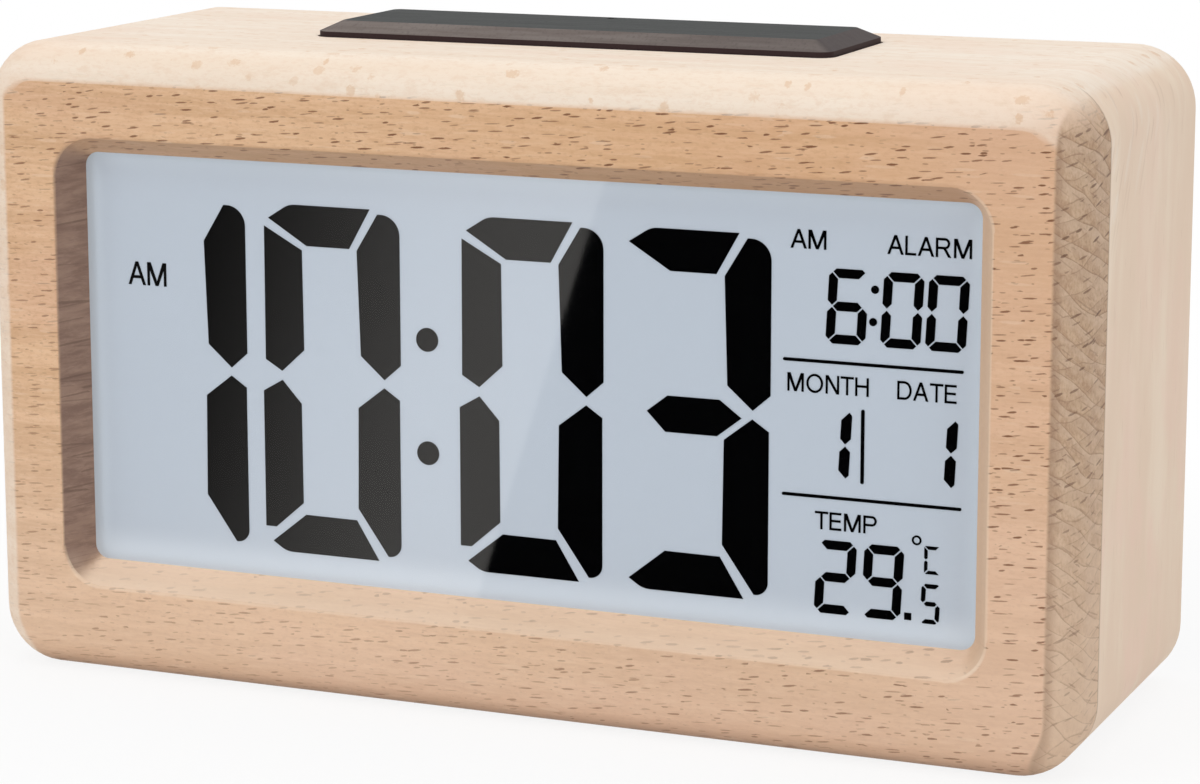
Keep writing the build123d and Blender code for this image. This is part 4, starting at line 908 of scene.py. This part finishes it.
# %% Print the words: left, lower, right and upper edge in mm from the display's middle
word_places = [
    ("AM", -56.1, 9.9, -50.4, 13.0),
    ("AM", 36.75, 20.5, 41.35, 22.85),
    ("ALARM", 49.15, 20.5, 59.75, 22.85),
    ("MONTH", 36.5, 2.7, 47.0, 5.0),
    ("DATE", 50.65, 2.7, 58.15, 5.0),
    ("TEMP", 40.25, -14.4, 48.25, -12.15),
]
z0 = display_z / mm
degree = {"x": 53.4, "z": z0 - 14.65, "radius": 0.38, "thick": 0.24}
letter_c = {"left": 54.4, "low": z0 - 18.75, "width": 1.85, "height": 3.5, "stroke": 0.42}
words = []
for word, left, low, right_side, high in word_places:
    words += printed_word(word, left, z0 + low, right_side, z0 + high, ink_low.y, ink_high.y)
words.append(ring_mesh(**degree, y_front=ink_low.y, y_back=ink_high.y))
for corners in slim_letter_c(**letter_c):
    words.append(bar_mesh(corners, ink_low.y, ink_high.y))
print_black = joined("display_words", words, dress["time_digits"])
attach(print_black, "clock")
print("words printed:", len(word_places), "with", len(print_black.data.polygons), "faces")

# %% [markdown]
# ## Screws in the back
# Four screws hold the back panel.  They are the same screw four times over, so
# a Geometry Nodes tree makes one head with a cross recess, and copies it to
# the corners of a grid.  The copies are made real at the end, because only real
# meshes are kept with the model.

# %% The screw tree
def screw_tree(material):
    tree = bpy.data.node_groups.new("panel_screw_heads", "GeometryNodeTree")
    sizes = {"Spread X": 0.13, "Spread Z": 0.06, "Head Radius": 0.0024, "Head Height": 0.0012,
             "Shank Radius": 0.001, "Shank Length": 0.008}
    for label, value in sizes.items():
        socket = tree.interface.new_socket(label, in_out="INPUT", socket_type="NodeSocketFloat")
        socket.default_value = value
    tree.interface.new_socket("Geometry", in_out="OUTPUT", socket_type="NodeSocketGeometry")

    def feed(socket, value):
        if hasattr(value, "is_output"):
            tree.links.new(value, socket)
        else:
            socket.default_value = value

    def add(kind, settings=None, **inputs):
        """Adds a node.  A socket's name is written with _ for each space."""
        made = tree.nodes.new(kind)
        for key, value in (settings or {}).items():
            setattr(made, key, value)
        for key, value in inputs.items():
            feed(made.inputs[key.replace("_", " ")], value)
        return made

    def times(value, factor):
        made = add("ShaderNodeMath", {"operation": "MULTIPLY"})
        feed(made.inputs[0], value)
        feed(made.inputs[1], factor)
        return made.outputs[0]

    given = add("NodeGroupInput").outputs
    height, radius, length = given["Head Height"], given["Head Radius"], given["Shank Length"]
    taper, slot_long, slot_wide, slot_lift = 0.8, 1.2, 0.28, 1.15
    head = add("GeometryNodeMeshCone", Vertices=28, Side_Segments=1, Fill_Segments=1,
               Radius_Top=times(radius, taper), Radius_Bottom=radius, Depth=height)
    centre = add("ShaderNodeCombineXYZ", Z=times(height, slot_lift)).outputs[0]
    cut = add("GeometryNodeMeshBoolean", {"operation": "DIFFERENCE", "solver": "EXACT"},
              Mesh_1=head.outputs["Mesh"])
    for along_x, along_y in ((slot_long, slot_wide), (slot_wide, slot_long)):
        size = add("ShaderNodeCombineXYZ", X=times(radius, along_x), Y=times(radius, along_y), Z=height)
        arm = add("GeometryNodeMeshCube", Size=size.outputs[0])
        raised = add("GeometryNodeTransform", Geometry=arm.outputs["Mesh"], Translation=centre)
        tree.links.new(raised.outputs["Geometry"], cut.inputs["Mesh 2"])
    shank = add("GeometryNodeMeshCylinder", Vertices=20, Radius=given["Shank Radius"], Depth=length)
    sink = add("ShaderNodeCombineXYZ", Z=times(length, -0.5)).outputs[0]
    lowered = add("GeometryNodeTransform", Geometry=shank.outputs["Mesh"], Translation=sink)
    whole = add("GeometryNodeJoinGeometry")
    tree.links.new(cut.outputs["Mesh"], whole.inputs[0])
    tree.links.new(lowered.outputs["Geometry"], whole.inputs[0])
    grid = add("GeometryNodeMeshGrid", Size_X=given["Spread X"], Size_Y=given["Spread Z"], Vertices_X=2,
               Vertices_Y=2)
    copies = add("GeometryNodeInstanceOnPoints", Points=grid.outputs["Mesh"], Instance=whole.outputs[0])
    real = add("GeometryNodeRealizeInstances", Geometry=copies.outputs["Instances"])
    coated = add("GeometryNodeSetMaterial", Geometry=real.outputs["Geometry"], Material=material)
    tree.links.new(coated.outputs["Geometry"], add("NodeGroupOutput").inputs[0])
    return tree


# %% Four screws, made real
def plain_mesh(source):
    """The evaluated mesh of an object, which is then removed."""
    bpy.context.view_layer.update()
    mesh = bpy.data.meshes.new_from_object(source.evaluated_get(bpy.context.evaluated_depsgraph_get()))
    bpy.data.objects.remove(source)
    return mesh


def grown(name, tree, values, matrix, material):
    """Runs a tree on an empty mesh and keeps the result as a plain mesh in its place."""
    holder = linked(name + "_holder", bpy.data.meshes.new(name + "_holder"))
    modifier = holder.modifiers.new("grow", "NODES")
    modifier.node_group = tree
    sockets = {item.name: item.identifier for item in tree.interface.items_tree if item.in_out == "INPUT"}
    for label, value in values.items():
        modifier[sockets[label]] = value
    mesh = plain_mesh(holder)
    mesh.transform(matrix)
    mesh.materials.clear()
    return as_object(name, mesh, material)


screw_low, screw_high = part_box("panel_screws")
head_r, head_t = 2.4 * mm, 1.2 * mm
screw_place = (0, screw_high.y - head_t / 2, (screw_low.z + screw_high.z) / 2)
facing_back = Matrix.Translation(screw_place) @ Matrix.Rotation(math.radians(-90), 4, "X")
screws = grown("panel_screw_set", screw_tree(steel), {
    "Spread X": screw_high.x - screw_low.x - 2 * head_r,
    "Spread Z": screw_high.z - screw_low.z - 2 * head_r,
    "Head Radius": head_r,
    "Head Height": head_t,
    "Shank Length": screw_high.y - screw_low.y - head_t,
}, facing_back, steel)
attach(screws, "clock")
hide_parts("panel_screws")
print("screw faces:", len(screws.data.polygons))

# %% [markdown]
# ## Legends on the back
# Small printed words say what each key does.  They are as thin as ink, and sit
# on the panel's own face.

# %% Legends
panel_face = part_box("rear_panel")[1].y


def lettering(text, middle, low, high, y_front, y_back):
    """One word for a face that looks backwards, centred on middle, from low to high, in mm."""
    curve = bpy.data.curves.new("legend", "FONT")
    curve.body = text
    curve.extrude = 0.5
    curve.resolution_u = 6
    mesh = plain_mesh(linked("legend", curve))
    xs = [v.co.x for v in mesh.vertices]
    ys = [v.co.y for v in mesh.vertices]
    scale = (high - low) * mm / (max(ys) - min(ys))
    centre_x = (min(xs) + max(xs)) / 2
    for v in mesh.vertices:
        depth = y_front if v.co.z > 0 else y_back
        v.co = (middle * mm - (v.co.x - centre_x) * scale, depth, low * mm + (v.co.y - min(ys)) * scale)
    return mesh


def back_words():
    proud, sunk = panel_face + 0.04 * mm, panel_face - 0.02 * mm
    over_keys, tall = 60.6, 1.7
    rows = [("ALARM", 37.0, over_keys), ("ON", 45.0, 55.1), ("OFF", 29.0, 49.6)]
    words = {"key_mode": "MODE", "key_set": "SET", "key_up": "UP", "key_down": "DOWN", "key_scale": "C / F"}
    for key_name, word in words.items():
        low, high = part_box(key_name)
        rows.append((word, (low.x + high.x) / 2 / mm, over_keys))
    meshes = [lettering(word, middle, low, low + tall, proud, sunk) for word, middle, low in rows]
    return joined("panel_legends", meshes, moulded("legend_ink", (0.70, 0.69, 0.66), rough=0.6, grain=6.0))


legends = back_words()
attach(legends, "clock")
print("legend faces:", len(legends.data.polygons))

# %% [markdown]
# ## The studio
# The clock stands on a white sweep under soft light.  The lamps are large, so
# shadows are soft, and the background is white by its own colour.  What the
# camera and the glossy surfaces see as background is plain white.

# %% Floor
def table_sheet(name, left, near, right_edge, far, level, material):
    """A rectangle that lies on the table, in metres."""
    mesh = bpy.data.meshes.new(name)
    corners = [(left, near, level), (right_edge, near, level), (right_edge, far, level), (left, far, level)]
    mesh.from_pydata(corners, [], [(0, 1, 2, 3)])
    mesh.materials.append(material)
    return linked(name, mesh)


def seen_by_eye(f):
    """1 for what the camera, a mirror or a clear sheet looks at, and 0 for plain light."""
    seen = f.node("ShaderNodeLightPath", out="Is Camera Ray")
    for ray in ("Is Glossy Ray", "Is Transmission Ray"):
        seen = seen.most(f.node("ShaderNodeLightPath", out=ray))
    return seen


def studio_floor():
    f = Finish("floor_white")
    x, y, _ = f.axes(f.place((0.001, 0.001, 0.001)))
    drift = f.noise(f.place((0.002, 0.002, 0.002)), detail=1.0)
    colour = f.mix(drift, (0.90, 0.90, 0.90), (0.92, 0.92, 0.92))
    paper = f.node("ShaderNodeBsdfDiffuse", {}, {"Color": colour})
    glow = f.node("ShaderNodeEmission", {}, {"Color": (1.0, 1.0, 1.0), "Strength": 1.0})
    far = ((x ** 2 + y ** 2) ** 0.5).above(0.07, 0.18)
    white = seen_by_eye(f) * (0.86 + 0.14 * far)
    blend = f.node("ShaderNodeMixShader", {}, {0: white, 1: paper, 2: glow})
    f.node("ShaderNodeOutputMaterial", {}, {"Surface": blend})
    reach = 6.0
    floor = table_sheet("floor", -reach, -reach, reach, reach, 0, f.material)
    return floor


print("stage:", studio_floor().name)

# %% [markdown]
# The clear sheet mirrors whatever lies in front of it.  A dark card on the
# table keeps the display black, and a bright one beside it leaves a sheen on
# part of the glass.  Both cards are one flat stage piece that only glossy rays
# meet, with a straight edge between dark and bright.  Lamps would do the same,
# but they would change the wood as well.

# %% Cards for the reflection
def table_card():
    f = Finish("table_card")
    x, y, _ = f.axes(f.place((0.001, 0.001, 0.001)))
    start, finish = (-0.0289, -0.0748), (-0.1755, -0.4739)
    edge_blur, near_width, growth = 0.0006, 0.945, 2.4
    fade_start, fade_end, rest = 0.006, 0.054, 0.08
    dx, dy = finish[0] - start[0], finish[1] - start[1]
    length = math.hypot(dx, dy)
    left = ((y - start[1]) * dx - (x - start[0]) * dy) / length * (-1.0)
    spread = left / (near_width - y * growth)
    glow = left.past(0.0, edge_blur) * (rest + (1 - rest) * spread.below(fade_start, fade_end))
    light = f.node("ShaderNodeEmission", {}, {"Color": (1.0, 0.97, 0.93), "Strength": 1.5})
    dark = f.node("ShaderNodeEmission", {}, {"Color": grey(0.0), "Strength": 0.0})
    both = f.node("ShaderNodeMixShader", {}, {0: glow, 1: dark, 2: light})
    f.node("ShaderNodeOutputMaterial", {}, {"Surface": both})
    card = table_sheet("table_card", -0.6, -1.4, 0.35, -0.032, 0.0002, f.material)
    card.visible_camera = False
    card.visible_diffuse = False
    card.visible_shadow = False
    card.visible_transmission = False
    return card


print("stage:", table_card().name)

# %% World and lamps
def studio_sky():
    """Even light from all round, which the camera sees brighter than it shines."""
    f = Finish("studio", world=True)
    shining, seen = 0.55, 1.0
    strength = shining + (seen - shining) * seen_by_eye(f)
    sky = f.node("ShaderNodeBackground", {}, {"Strength": strength})
    f.node("ShaderNodeOutputWorld", {}, {"Surface": sky})
    return f.material


bpy.context.scene.world = studio_sky()
clock_middle = (0.0, 0.0, 0.045)


def soft_lamp(name, place, size, power):
    """A square lamp that looks at the middle of the clock."""
    data = bpy.data.lights.new(name, "AREA")
    data.shape = "SQUARE"
    data.size = size
    data.energy = power
    lamp = linked(name, data)
    lamp.location = place
    lamp.rotation_euler = (Vector(place) - Vector(clock_middle)).to_track_quat("Z", "Y").to_euler()


soft_lamp("overhead", (0.0, 0.1, 1.1), 1.0, 4.5)
soft_lamp("front_left", (-0.6, -1.0, 0.7), 0.8, 4.5)
soft_lamp("front_right", (1.0, -0.5, 0.6), 0.8, 2.5)

# %% [markdown]
# ## The picture
# The Standard view shows a colour as it is written; a filmic view would turn the
# white paper grey.

# %% Picture settings
bpy.context.scene.view_settings.view_transform = "Standard"
